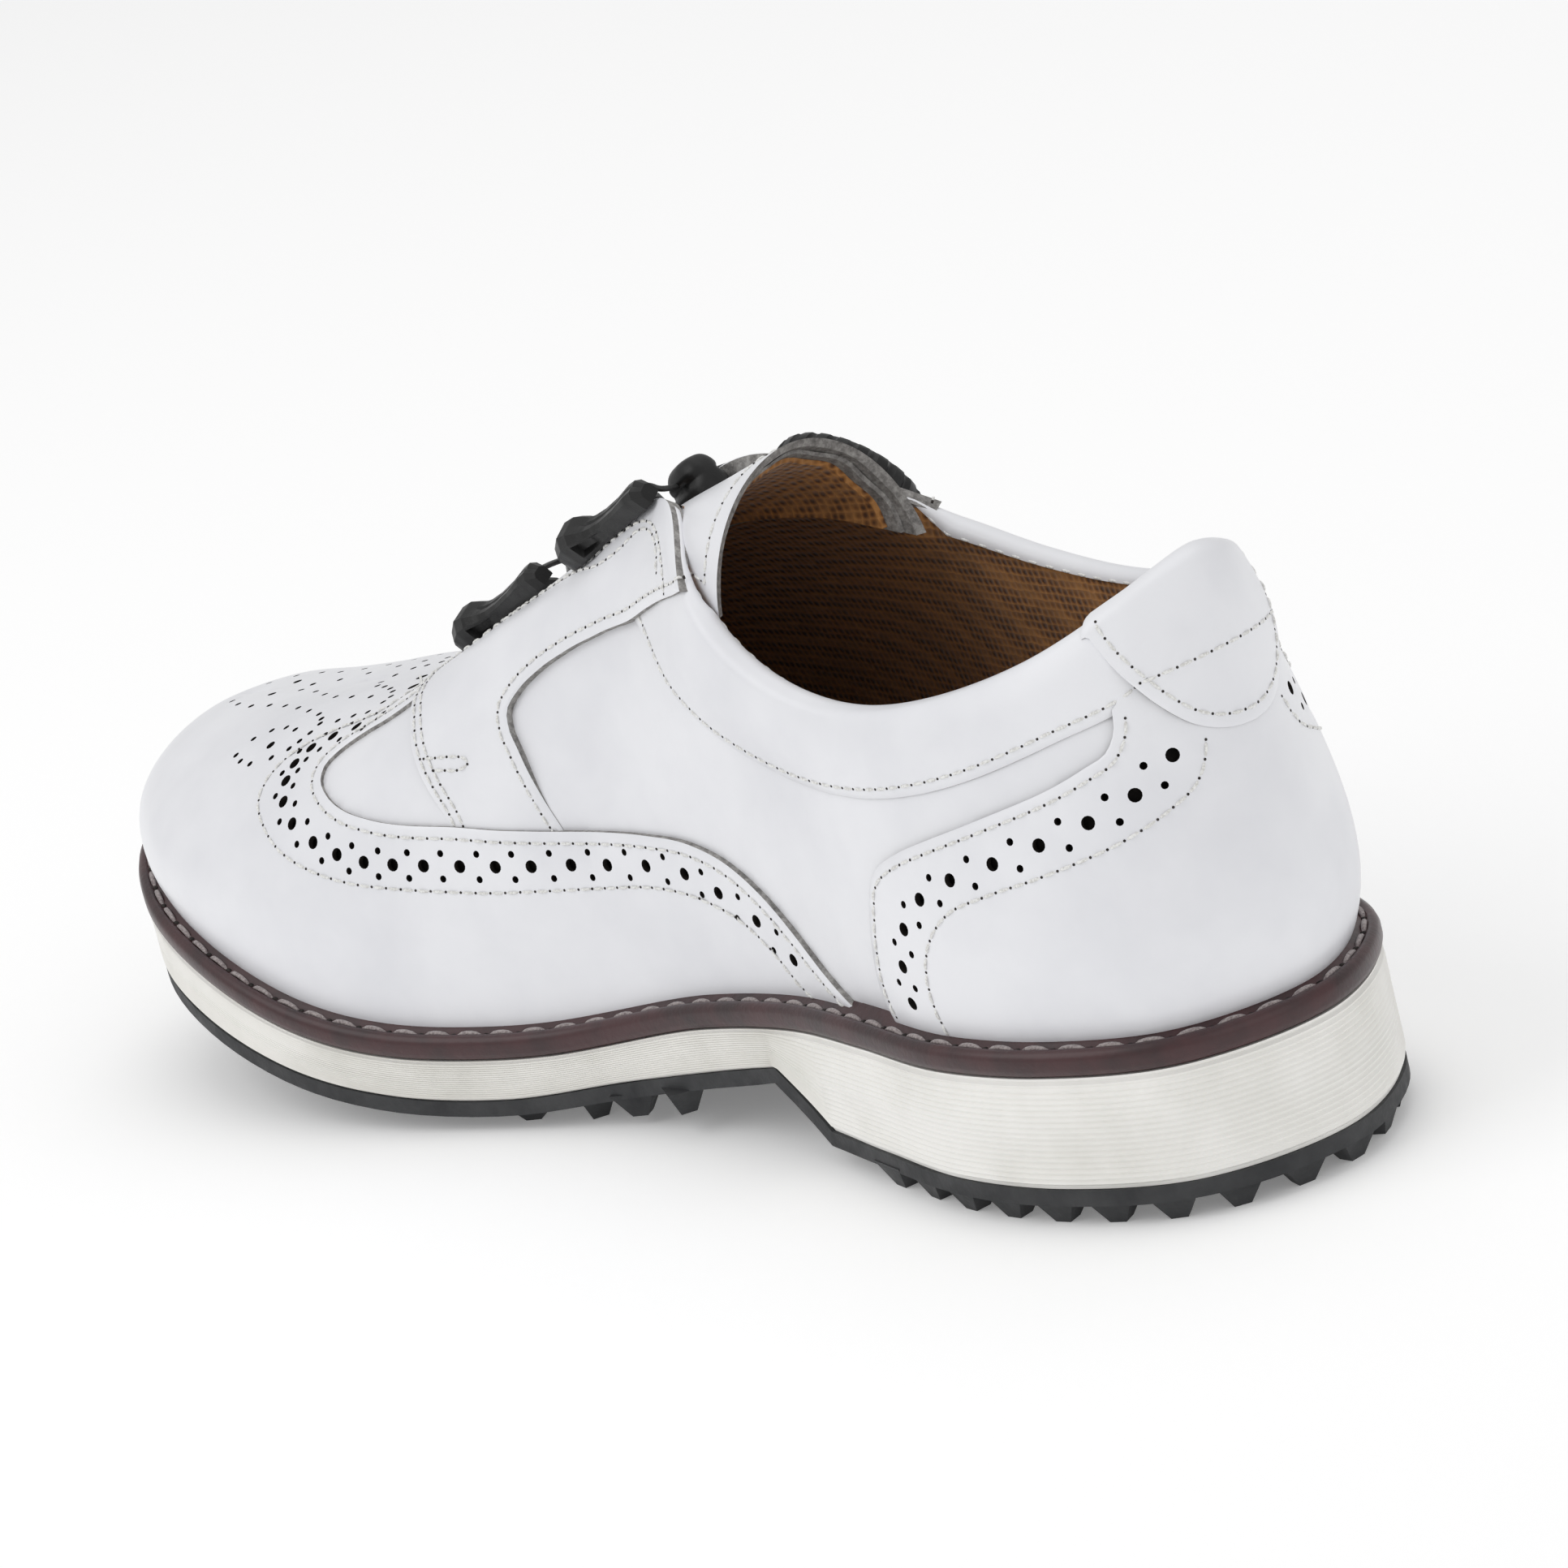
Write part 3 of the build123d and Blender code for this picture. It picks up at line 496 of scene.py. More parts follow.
def closed_grid(name, outer, inner, materials, stands_for=(), wrap=False, marks=(0, 0, 0)):
    """Closed sheet between two grids of points; marks are the materials of face, back and rim."""
    n, m = outer.shape[:2]
    half = n * m
    front = grid_faces(n, m, wrap_rows=wrap)
    back = [(a + half, d + half, c + half, b + half) for a, b, c, d in front]
    place = np.arange(half).reshape(n, m)
    borders = [place[:, 0], place[:, -1]]
    if wrap:
        borders = [np.append(border, border[0]) for border in borders]
    else:
        borders += [place[0], place[-1]]
    rim = [(a, a + half, b + half, b) for border in borders for a, b in zip(border, border[1:])]
    index = [marks[0]] * len(front) + [marks[1]] * len(back) + [marks[2]] * len(rim)
    vertices = np.vstack([outer.reshape(-1, 3), inner.reshape(-1, 3)])
    mesh = mesh_from(name, vertices, front + back + rim, materials, index, merge=0, sharp=40)
    return link(name, mesh, stands_for=stands_for)


def tube_faces(rings, sides):
    """Faces of a capped tube whose points are stored ring by ring."""
    caps = [tuple(range(sides))[::-1], tuple(range((rings - 1) * sides, rings * sides))]
    return grid_faces(rings, sides, wrap_columns=True) + caps


ARCH = np.array([-0.9, 0.25, 0.6, 0.6, 0.25, -0.9])      # height of a stitch's thread, in thread radii
SWELL = np.array([0.75, 1, 1.08, 1.08, 1, 0.75])         # and its thickness


def stitches(name, curves, lift, pitch=STITCH_PITCH, length=STITCH_LENGTH, thread=THREAD, hole=NEEDLE,
             thread_material=None, surface=skin):
    """Rows of separate stitches, each an arched thread between two needle holes shown as dark discs of painted shade.
    """
    vertices, faces, index = [], [], []
    cos, sin = circle(6)

    def add(points, material):
        first = len(vertices)
        vertices.extend(points.reshape(-1, 3))
        new = [tuple(corner + first for corner in face) for face in tube_faces(len(points), 6)]
        faces.extend(new)
        index.extend([material] * len(new))

    for curve in curves:
        dense = even(curve, 0.4) if surface is skin else curve
        s, v = dense.T
        raised = lift(s, v) if callable(lift) else np.full(len(s), lift)
        xyz = surface(s, v, raised)
        normals = unit(surface(s, v, raised + 0.5) - xyz)
        run = run_length(xyz)
        total = max(1, int(round(run[-1] / pitch)))
        step = run[-1] / total
        for k in range(total):
            at = (k + 0.5) * step + np.linspace(-0.5, 0.5, len(ARCH)) * length * step / pitch
            p, n = read_at(at, run, xyz), read_at(at, run, normals)
            side = np.cross(n, unit(np.gradient(p, axis=0)))
            width = SWELL[:, None] * thread
            height = ARCH[:, None] * thread + sin * width * 0.8
            add(p[:, None] + n[:, None] * height[..., None] + side[:, None] * (cos * width)[..., None], 0)
        # needle holes: near-black discs on the surface, painted shade in place of a real hole
        for at in np.arange(total + 1) * step:
            p, n = read_at(at, run, xyz), read_at(at, run, normals)
            t = unit(read_at(min(at + 0.2, run[-1]), run, xyz) - read_at(max(at - 0.2, 0), run, xyz))
            ring = hole * (cos[:, None] * t + sin[:, None] * np.cross(n, t))
            add(np.stack([p + n * height + ring for height in (-0.5, 0.05)]), 1)
    mesh = mesh_from(name, vertices, faces, [thread_material or THREAD_WHITE, NEEDLE_HOLE_SHADE], index)
    return link(name, mesh)


# ---------------------------------------------------------------- materials
INPUT_NAMES = {"metallic": "Metallic", "coat": "Coat Weight", "coat_roughness": "Coat Roughness",
               "specular": "Specular IOR Level", "sheen": "Sheen Weight"}


class Look:
    """A material with the patterns that give it its colour, roughness and relief."""

    def __init__(self, name, colour, roughness, **settings):
        self.material = bpy.data.materials.new(name)
        self.material.use_nodes = True
        self.nodes, self.links = self.material.node_tree.nodes, self.material.node_tree.links
        self.shader = self.nodes["Principled BSDF"]
        self.shader.inputs["Base Color"].default_value = (*colour, 1)
        self.shader.inputs["Roughness"].default_value = roughness
        for key, value in {"coat_roughness": 0.2, **settings}.items():
            self.shader.inputs[INPUT_NAMES[key]].default_value = value
        self.relief = None

    def node(self, kind, links, **values):
        """New node with values and linked inputs."""
        node = self.nodes.new(f"ShaderNode{kind}")
        for key, value in values.items():
            node.inputs[key].default_value = value
        for key, source in links.items():
            self.links.new(source, node.inputs[key])
        return node

    def texture(self, kind, output, **values):
        place = self.nodes.new("ShaderNodeTexCoord").outputs["Object"]
        return self.node(kind, {"Vector": place}, **values).outputs[output]

    def noise(self, scale, detail=3, roughness=0.55):
        return self.texture("TexNoise", "Fac", Scale=scale, Detail=detail, Roughness=roughness)

    def cells(self, scale, randomness=1.0):
        return self.texture("TexVoronoi", "Distance", Scale=scale, Randomness=randomness)

    def ramp(self, value, *stops, to=None):
        """Colours or greys read from a pattern, and sent to an input of the shader."""
        node = self.node("ValToRGB", {"Fac": value})
        elements = node.color_ramp.elements
        while len(elements) < len(stops):
            elements.new(0.5)
        for element, (place, tone) in zip(elements, stops):
            element.position = place
            element.color = (*tone, 1) if isinstance(tone, tuple) else (tone, tone, tone, 1)
        if to:
            self.links.new(node.outputs["Color"], self.shader.inputs[to])
        return node.outputs["Color"]

    def tint(self, value, *stops):
        self.ramp(value, *stops, to="Base Color")
        return self

    def shine(self, value, *stops):
        self.ramp(value, *stops, to="Roughness")
        return self

    def bump(self, height, strength, distance):
        links = {"Height": height, "Normal": self.relief} if self.relief else {"Height": height}
        self.relief = self.node("Bump", links, Strength=strength, Distance=distance).outputs["Normal"]
        self.links.new(self.relief, self.shader.inputs["Normal"])
        return self


def leather():
    light, dark, roughness = (0.85, 0.855, 0.885), (0.775, 0.78, 0.815), 0.36
    look = Look("white_leather", light, roughness, coat=0.25, coat_roughness=0.28)
    look.tint(look.noise(28, 4), (0.32, dark), (0.58, light))
    look.shine(look.noise(90), (0.3, roughness - 0.07), (0.7, roughness + 0.1))
    look.bump(look.noise(60), 0.10, 0.0006).bump(look.cells(1500), 0.10, 0.0001)
    return look.material


def raw_edge():
    look = Look("raw_edge", (0.42, 0.41, 0.40), 0.9)
    look.tint(look.noise(700, 5, 0.7), (0.3, (0.12, 0.115, 0.11)), (0.5, (0.27, 0.26, 0.25)),
              (0.7, (0.48, 0.47, 0.45)))
    return look.bump(look.noise(1500, 4), 0.6, 0.0003).material


def thread(name, light, dark):
    look = Look(name, light, 0.6, sheen=0.3)
    look.tint(look.noise(2500, 2), (0.35, dark), (0.6, light))
    return look.bump(look.noise(4000, 2), 0.5, 0.0002).material


def brighter(colour, times):
    return tuple(part * times for part in colour)


# Near-black material with a random tone, used as painted shade inside holes.
def painted_shade(name, colour):
    look = Look(name, colour, 0.85, specular=0.2)
    return look.tint(look.noise(900), (0.4, colour), (0.7, brighter(colour, 2.2))).material


def brown_mesh():
    """Brown spacer mesh: small round cells in staggered rows over a woven ground."""
    look = Look("brown_mesh", (0.30, 0.13, 0.04), 0.85, sheen=0.25)
    cells = look.cells(640, 0.18)
    tone = look.ramp(cells, (0.18, (0.11, 0.04, 0.010)), (0.42, (0.36, 0.15, 0.035)), (0.62, (0.52, 0.24, 0.07)))
    cloud = look.ramp(look.noise(120), (0.3, 0.55), (0.65, 1.0))
    shade = look.node("MixRGB", {"Color1": tone, "Color2": cloud}, Fac=0.6)
    shade.blend_type = "MULTIPLY"
    look.links.new(shade.outputs["Color"], look.shader.inputs["Base Color"])
    return look.bump(cells, 0.8, 0.0006).material


def foam():
    look = Look("midsole_foam", (0.83, 0.82, 0.79), 0.6)
    look.tint(look.noise(45, 4), (0.3, (0.82, 0.81, 0.77)), (0.6, (0.92, 0.91, 0.88)))
    return look.bump(look.noise(1400), 0.25, 0.0002).material


def welt_leather():
    look = Look("welt_leather", (0.13, 0.022, 0.018), 0.42, coat=0.2)
    look.tint(look.noise(130, 4), (0.3, (0.022, 0.007, 0.008)), (0.6, (0.050, 0.013, 0.015)))
    return look.bump(look.noise(800, 4), 0.35, 0.0003).material


def rubber():
    look = Look("outsole_rubber", (0.035, 0.036, 0.038), 0.62, specular=0.4)
    look.tint(look.noise(60, 4), (0.3, (0.022, 0.023, 0.025)), (0.7, (0.05, 0.051, 0.053)))
    look.shine(look.noise(260), (0.3, 0.5), (0.7, 0.75))
    return look.bump(look.noise(1300), 0.35, 0.0002).material


def plastic(name, colour, roughness, metallic=0.0):
    look = Look(name, colour, roughness, metallic=metallic, specular=0.35)
    look.shine(look.noise(300, 4), (0.35, roughness - 0.08), (0.65, roughness + 0.12))
    look.tint(look.noise(90), (0.4, colour), (0.75, brighter(colour, 1.7)))
    return look.bump(look.noise(2600), 0.3, 0.0001).material


WHITE, RAW_EDGE = leather(), raw_edge()
THREAD_WHITE = thread("white_thread", (0.90, 0.90, 0.88), (0.66, 0.65, 0.62))
THREAD_WELT = thread("welt_thread", (0.42, 0.37, 0.36), (0.20, 0.16, 0.16))
# Painted shade: near-black for the inside of needle holes and of punched holes.
NEEDLE_HOLE_SHADE = painted_shade("needle_hole_shade", (0.03, 0.026, 0.024))
PAINTED_HOLE_SHADE = painted_shade("painted_hole_shade", (0.012, 0.010, 0.009))
LINING, FOAM, WELT, RUBBER = brown_mesh(), foam(), welt_leather(), rubber()
BLACK = plastic("black_plastic", (0.006, 0.006, 0.006), 0.38)
STEEL = plastic("lace_steel", (0.05, 0.05, 0.05), 0.35, metallic=0.6)
INSOLE = plastic("insole_cloth", (0.05, 0.03, 0.02), 0.9)
# Face, raw edge, and painted shade for the walls of punched holes.
LEATHER_SET = [WHITE, RAW_EDGE, PAINTED_HOLE_SHADE]


# ---------------------------------------------------------------- seams of the medial side
# Points are (millimetres from the heel, v).  Seams that go under the welt end at v = FOOT.
FOOT = -.01
WING_EDGE = [(108, -.01), (112, .035), (116, .085), (124, .19), (132, .275), (141, .33), (152, .352), (165, .353),
             (179, .36), (190, .37), (202, .385), (213, .40), (224, .413), (233, .432), (241, .462), (248, .51),
             (254, .575), (255.8, .62), (254.7, .665), (251, .705), (245.5, .723), (240, .754),
             (235, .82)]
WING_HOLES = [(126, .11), (135, .20), (145, .25), (154, .28), (165, .292), (176, .30), (185, .308), (194, .314),
              (202, .32), (210, .325), (218, .33), (225, .335), (232, .342), (239, .36), (246, .39), (254, .44),
              (260.5, .50), (264.5, .56), (266.6, .614), (266.5, .67), (263.5, .715), (258.5, .745),
              (252, .765)]
RIDGE_HOLES = [(262.7, .905), (269.7, .97)]
WING_OUTER_STITCH = [(123, .0), (126, .03), (131, .11), (138, .18), (148, .22), (162, .245), (173, .256), (190, .268),
                     (208, .276), (225, .288), (235, .298), (244, .32), (254, .365), (262, .425), (268.2, .49),
                     (270.6, .56), (270.6, .63), (268.5, .69), (264, .745), (257.5, .782), (253.5, .82), (255.5, .87),
                     (263, .925), (271, .975)]
EYESTAY_FRONT = [(212, .36), (214, .40), (220, .48), (227, .57), (233, .66), (238, .73), (242, .80), (245.5, .87),
                 (248.5, .94), (250, 1.0)]
EYESTAY_REAR = [(157, 1.0), (160, .945), (165, .87), (170, .805), (176, .745), (185, .712), (194, .698), (200, .683),
                (204, .655), (205.5, .62), (204, .585), (199, .52), (192, .42), (187, .36), (185, .33)]
COLLAR_EDGE = [(14, .79), (25, .735), (45, .72), (63, .70), (84, .69), (105, .685), (126, .685), (144, .69),
               (161, .72), (178, .755)]
FOXING_EDGE = [(31, .74), (31, .69), (33, .65), (38, .632), (45, .612), (63, .58), (75, .552), (83, .52), (89, .475),
               (91.5, .43), (92.5, .36), (94, .23), (95, .10), (94.5, -.01)]
FOXING_HOLES = [(84.5, .09), (84, .20), (81.5, .31), (76, .395), (68, .44), (58, .463), (48, .485), (38, .508),
                (28, .535), (19.5, .585)]
FOXING_INNER_STITCH = [(77, .0), (77.5, .12), (76.5, .22), (74, .29), (69, .352), (60, .385), (50, .405), (40, .428),
                       (30, .452), (22, .478), (16, .51), (13.5, .55), (12.5, .585)]
TAB_EDGE = [(37.5, 1.0), (34.5, .93), (31, .86), (28, .81), (25, .765), (22, .72), (19, .68), (15, .635), (11, .605),
            (5.5, .582), (0, .575)]


def on_side(points, side):
    """Medial points taken to a side, in the same order."""
    points = np.array(points, float)
    return points if side == 1 else points * [-1, 1] + [LOOP, 0]


def punched(row, offset=2.35):
    """Broguing along one row: big holes, and between each two a pair of small ones beside the row."""
    holes = [(s, v, BIG_HOLE) for s, v in row]
    for a, b in zip(np.array(row, float), np.array(row[1:], float)):
        line = np.array([a, (a + b) / 2, b])
        holes += [(*beside(line, distance)[1], SMALL_HOLE) for distance in (offset, -offset)]
    return holes


def ridge_points(side, x_first, x_last, step=1.6):
    """(s, 1) points on the middle line of the toe at even steps of x."""
    s = np.linspace(0, SIDE_LENGTH, 1409)
    s = s if side == 1 else LOOP - s
    xs = look_up(POINTS, s, np.ones_like(s))[:, 0]
    front = xs > 20
    count = int(round(abs(x_last - x_first) / step)) + 1
    return [(float(np.interp(x, xs[front], s[front])), 1.0) for x in np.linspace(x_first, x_last, count)]


# Rows of the toe's punched scroll: pitch and (x, distance from the middle line), in millimetres.
SCROLL = [
    (6.6, [(129, 4.7), (121, 8.3), (109, 9.1), (95, 12.5), (87, 15.3)]),
    (2.7, [(84.5, 16.9), (82.7, 18.7), (83, 20.6), (83.9, 22.9), (85.7, 24.8)]),
    (6.4, [(110.5, 1.6), (105.2, 2.6), (98, 5.5), (90, 8.1), (77.4, 9.7)]),
    (3.4, [(69.7, 10.9), (71.8, 8.7), (76.5, 6.0), (81.9, 4.4), (84.1, 1.9)]),
    (3.6, [(69.6, 13), (69.2, 15.2), (74, 16.6), (78.1, 17.9)]),
    (4.0, [(89.5, 19.7), (94.6, 18.5), (99.5, 19.8), (102.4, 22.1), (102.6, 25), (98.8, 26.9), (94.8, 27.8)]),
]
SCROLL_SPOTS = [(117.8, 3.2, 0.9), (93, 23.4, 1.0), (89.2, 26.6, SMALL_HOLE)]
RIDGE_CLEAR = 1.6            # the scroll keeps this far from the toe's middle line


def medallion():
    """The scroll's small holes at even steps along its rows."""
    spots = list(SCROLL_SPOTS)
    for pitch, row in SCROLL:
        points = np.array(row, float)
        knots = run_length(points)
        fine = smooth(knots, points, np.linspace(0, knots[-1], 200))
        run = run_length(fine)
        at = np.linspace(0, run[-1], int(round(run[-1] / pitch)) + 1)
        spots += [(x, y, SMALL_HOLE) for x, y in read_at(at, run, fine)]
    return spots


def medallion_holes(side):
    """The scroll's holes as (s, v, radius) on one side of the toe."""
    line = np.linspace(240, SIDE_LENGTH - 1, 220)
    grids = np.meshgrid(line if side == 1 else LOOP - line, np.linspace(0.4, 0.995, 200), indexing="ij")
    s, v = (grid.ravel() for grid in grids)
    xy = look_up(POINTS, s, v)[:, :2]
    out = []
    for x, y, radius in medallion():
        gap = np.linalg.norm(xy - [x, TOE_MIDDLE + side * y], axis=1)
        k = np.argmin(gap)
        if y >= RIDGE_CLEAR and gap[k] < 1:
            out.append((s[k], v[k], radius))
    return out


# ---------------------------------------------------------------- upper
WELD_REACH, WELD_DISTANCE = 1.2 * MM, 0.4 * MM     # of the toe cap's halves


def make_toe_cap():
    """Two halves that are welded along the toe's middle line."""
    halves = []
    for side in (1, -1):
        edge = on_side(through(WING_EDGE), side)
        bridge = edge[-1, 0] + side * np.array([6, 14])
        toe_s = SIDE_LENGTH if side == 1 else SIDE_LENGTH + 1e-6
        toe_line = [(toe_s, v) for v in np.linspace(1, 0, 44)[1:-1]] + [(toe_s, FOOT)]
        foot = on_side([(s, FOOT) for s in np.arange(SIDE_LENGTH - 2, 109, -2.0)], side)
        outline = np.vstack([edge, np.column_stack([bridge, [.90, .97]]),
                             ridge_points(side, THROAT_END_X, TOE_X), toe_line, foot])
        holes = punched(WING_HOLES) + [(s, v, BIG_HOLE) for s, v in RIDGE_HOLES]
        if side == -1:
            holes = [(LOOP - s, v, r) for s, v, r in holes]
        halves.append(panel(f"toe_half_{side}", outline, OVERLAY, LEATHER, holes + medallion_holes(side), ridge=True))
    bpy.ops.object.select_all(action="DESELECT")
    for half in halves:
        half.select_set(True)
    bpy.context.view_layer.objects.active = cap = halves[0]
    bpy.ops.object.join()
    cap.name = "wingtip"
    turn_outwards(cap.data, WELD_DISTANCE, lambda point: abs(point.co.y - TOE_MIDDLE * MM) < WELD_REACH)
    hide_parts("wingtip_toe_cap", "toe_puff")


def make_panels():
    wing, fox = through(WING_EDGE), through(FOXING_EDGE)
    under_wing, under_fox = beside(wing, -UNDERLAP), beside(fox, -1.4)[1:]
    lobe, under_wing = under_wing[under_wing[:, 0] > 204], under_wing[under_wing[:, 0] < 200]
    under_wing[0, 1] = under_fox[-1, 1] = FOOT
    quarter = np.vstack([under_wing, polyline([(206, .42), (206, .76), (150, .77), (40, .79)]), under_fox])
    vamp = np.vstack([lobe, polyline([(232, .90), (226, .90), (207, .62)])])
    eyestay = np.vstack([through(EYESTAY_FRONT), [(s, 1.0) for s in np.arange(248.5, 157.5, -1.5)],
                         through(EYESTAY_REAR), [(s, .365) for s in np.arange(189, 212, 2)]])
    for side, label in ((1, "medial"), (-1, "lateral")):
        panel(f"{label}_quarter_panel", on_side(quarter, side), QUARTER_LIFT, UNDER_LEATHER,
              stands_for=(f"{label}_quarter", f"{label}_backing"))
        panel(f"{label}_vamp", on_side(vamp, side), VAMP_LIFT, UNDER_LEATHER, stands_for=(f"{label}_vamp_wing",))
        panel(f"{label}_eyestay_panel", on_side(eyestay, side), EYESTAY_LIFT, EYESTAY_THICKNESS,
              pad=eyestay_drop, surface=flat_skin, stands_for=(f"{label}_eyestay", f"{label}_eyestay_stay"))
        make_collar(side, label)


def eyestay_drop(s, v):
    """The eyestay's foot dips under the wing's edge."""
    return -1.3 * ease((0.52 - v) / 0.12)


def rolled_sheet(name, s, low, lift, thickness, rise_rows, stands_for):
    """Padded leather from a lower edge up and over the top line, with its rim turned down a little."""
    share = collar_radius(s) / rib_height(s)
    rows = [low + (1 - share - low) * k / rise_rows for k in range(rise_rows)]
    rows += [1 - share + share * ROLL_END * k / 12 for k in range(13)]
    v = np.stack(rows, 1)
    s = np.repeat(s[:, None], v.shape[1], 1)
    rim = np.zeros_like(v)
    rim[:, 0] = rim[0, :] = rim[-1, :] = EDGE_DROP
    raised = lift(s, v)
    leather = closed_grid(name, skin(s, v, raised - rim), skin(s, v, raised - thickness), LEATHER_SET,
                          marks=(0, 1, 1), stands_for=stands_for)


def collar_lift(s, v):
    near = from_heel(s)
    floor = np.interp(near, *np.transpose(COLLAR_EDGE))
    share = np.clip((v - floor) / (1 - floor), 0, 1)
    return 0.05 + COLLAR_PADDING * np.sin(np.pi * share)**0.8 * np.clip((172 - near) / 30, 0, 1)


def make_collar(side, label):
    near = np.arange(16, 177.5, 1.35)
    low = np.interp(near, *through(COLLAR_EDGE).T)
    rolled_sheet(f"{label}_collar_leather", near if side == 1 else LOOP - near, low, collar_lift, UNDER_LEATHER, 26,
                 (f"{label}_collar", f"{label}_collar_foam"))


def make_foxing():
    edge = through(FOXING_EDGE)
    foot = [(s, FOOT) for s in np.arange(93, -93, -2.0)]
    top = through([(31, .74), (27, .79), (16, .72), (0, .66), (-16, .72), (-27, .79), (-31, .74)])
    outline = np.vstack([top, edge[1:] * [-1, 1], foot[::-1], edge[::-1][:-1]])
    holes = punched(FOXING_HOLES)
    holes += [(-s, v, r) for s, v, r in holes] + [(0, .60, SMALL_HOLE)]
    panel("heel_foxing_panel", outline, OVERLAY, LEATHER, holes, stands_for=("heel_foxing", "heel_counter"))


def tab_lift(s, v):
    share = np.clip((v - .62) / .38, 0, 1)
    return 1.25 + TAB_PADDING * np.sin(np.pi * share)**0.8 * np.clip((38 - from_heel(s)) / 12, 0, 1)


def make_heel_tab():
    edge = through(TAB_EDGE)[::-1]
    s = np.linspace(-37.4, 37.4, 71)
    low = np.interp(np.abs(s), edge[:, 0], np.minimum(edge[:, 1], .96))
    rolled_sheet("heel_tab_leather", s, low, tab_lift, LEATHER, 30, ("heel_tab",))


def make_hole_shade_sheet():
    """Dark sheet under the punched panels: painted shade seen through the holes."""
    for label, first, last, top in (("toe", 112, 592, 1.0), ("heel", LOOP - 92, LOOP + 92, .6)):
        s, v = np.meshgrid(np.arange(first, last + 1, 3.0), np.linspace(0.0, top, 22), indexing="ij")
        closed_grid(f"{label}_painted_shade_sheet", skin(s, v, SHADE_SHEET_FACE), skin(s, v, SHADE_SHEET_BACK), [PAINTED_HOLE_SHADE])


def make_lining():
    """Mesh lining: four rows inside the roll, then 26 down to the insole."""
    s = np.arange(0, LOOP, 2.75)
    rolled = from_heel(s) < ROLLED_LENGTH
    roll = collar_radius(s) / rib_height(s)
    start = np.where(rolled, 1 - roll, 1.0)
    outer, inner = [], []
    for j in range(4):
        v = np.where(rolled, start + roll * np.radians(150 + 10 * j), 1.0)
        outer.append(skin(s, v, np.where(rolled, -0.35, -2.2 - 0.5 * j)))
        inner.append(skin(s, v, np.where(rolled, -0.85, -2.9 - 0.5 * j)))
    for share in np.arange(1, 27) / 26:
        outer.append(skin(s, start * (1 - share), -LINING_DEPTH))
        inner.append(skin(s, start * (1 - share), 0.6 - LINING_DEPTH))
    closed_grid("mesh_lining", np.stack(outer, 1), np.stack(inner, 1), [LINING], wrap=True,
                stands_for=("medial_quarter_lining", "lateral_quarter_lining", "vamp_lining"))


def inward(edge, inset):
    """Plan points inside the welt's edge."""
    return edge[:, :2] - edge[:, 2:] * inset


def make_insole():
    """Footbed with a raised rim, seen through the mouth."""
    edge = welt_edge(np.arange(0, LOOP, 4.0) / SIDE_LENGTH)
    middle = np.column_stack([np.clip(edge[:, 0], -120, 118), np.full(len(edge), 2.0)])
    rings = [np.column_stack([xy, profile(WELT_TOP, xy[:, 0]) + rise]) for xy, rise in (
        (inward(edge, 10.2), 5.5), (inward(edge, 12), 6.4), (inward(edge, 16), 6.6), (inward(edge, 20), 6.5),
        (inward(edge, 24), 6.5), (middle, 6.5))]
    outer = np.stack(rings, 1)
    closed_grid("footbed", outer, outer - [0, 0, 1.5], [INSOLE], wrap=True, stands_for=("sockliner",))


# ---------------------------------------------------------------- stitching of the upper
THROAT_SEAM = [(248, .942), (240, .937), (228, .939), (218, .941), (205, .941), (192, .941), (180, .941), (172, .933),
               (165, .921), (163, .91)]
SCALLOPED_SEAM = [(247, .925), (243, .885), (238, .872), (233, .885), (229, .915), (222, .932), (214, .938),
                  (206, .93), (201, .91), (196, .885), (191, .88), (187, .893), (184, .918), (178, .925),
                  (172, .915), (169, .895)]
TACK_SEAM = [(223, .549), (212.6, .533), (211.2, .524), (211.8, .515), (219.6, .519)]
TAB_CROSS_SEAM = [(24, .772), (12, .765), (0, .762), (-12, .765), (-24, .772)]
TOP_LINE_ANGLE = math.radians(160)   # the top line's stitches lie inside the roll


def make_stitching():
    wing, fox, collar, tab = (through(edge) for edge in (WING_EDGE, FOXING_EDGE, COLLAR_EDGE, TAB_EDGE))
    front, rear = through(EYESTAY_FRONT)[2:], through(EYESTAY_REAR)[1:-2]
    eyestay = [beside(front, 1.5), beside(front, 3.3), beside(rear, 2.0), through(THROAT_SEAM),
               through(SCALLOPED_SEAM), through(TACK_SEAM)]
    for label, turn in (("medial", lambda curve: curve), ("lateral", mirrored)):
        stitches(f"{label}_wing_stitching", [turn(beside(wing[2:-2], -2.1))], ON_TOP)
        stitches(f"{label}_wing_outer_stitching", [turn(through(WING_OUTER_STITCH))], ON_TOP)
        stitches(f"{label}_eyestay_stitching", [turn(curve) for curve in eyestay],
                 lambda s, v: EYESTAY_LIFT + 0.02 + eyestay_drop(s, v), pitch=2.9, length=2.2)
        stitches(f"{label}_collar_stitching", [turn(beside(collar[6:], 1.8))], collar_lift)
        stitches(f"{label}_foxing_stitching", [turn(beside(fox[1:-1], -2.0)), turn(through(FOXING_INNER_STITCH))],
                 ON_TOP)
    loop = np.vstack([tab, (tab * [-1, 1])[::-1][1:]])
    stitches("tab_stitching", [beside(loop[1:-1], -2.2)], tab_lift)
    stitches("tab_cross_stitching", [through(TAB_CROSS_SEAM)], tab_lift)
    for label, first in (("medial", 22), ("lateral", LOOP - 160)):
        s = np.arange(first, first + 138, 1.0)
        share = collar_radius(s) / rib_height(s)
        stitches(f"{label}_top_line_stitching", [np.column_stack([s, 1 - share + share * TOP_LINE_ANGLE])], -0.15,
                 pitch=4.2, length=3.2)


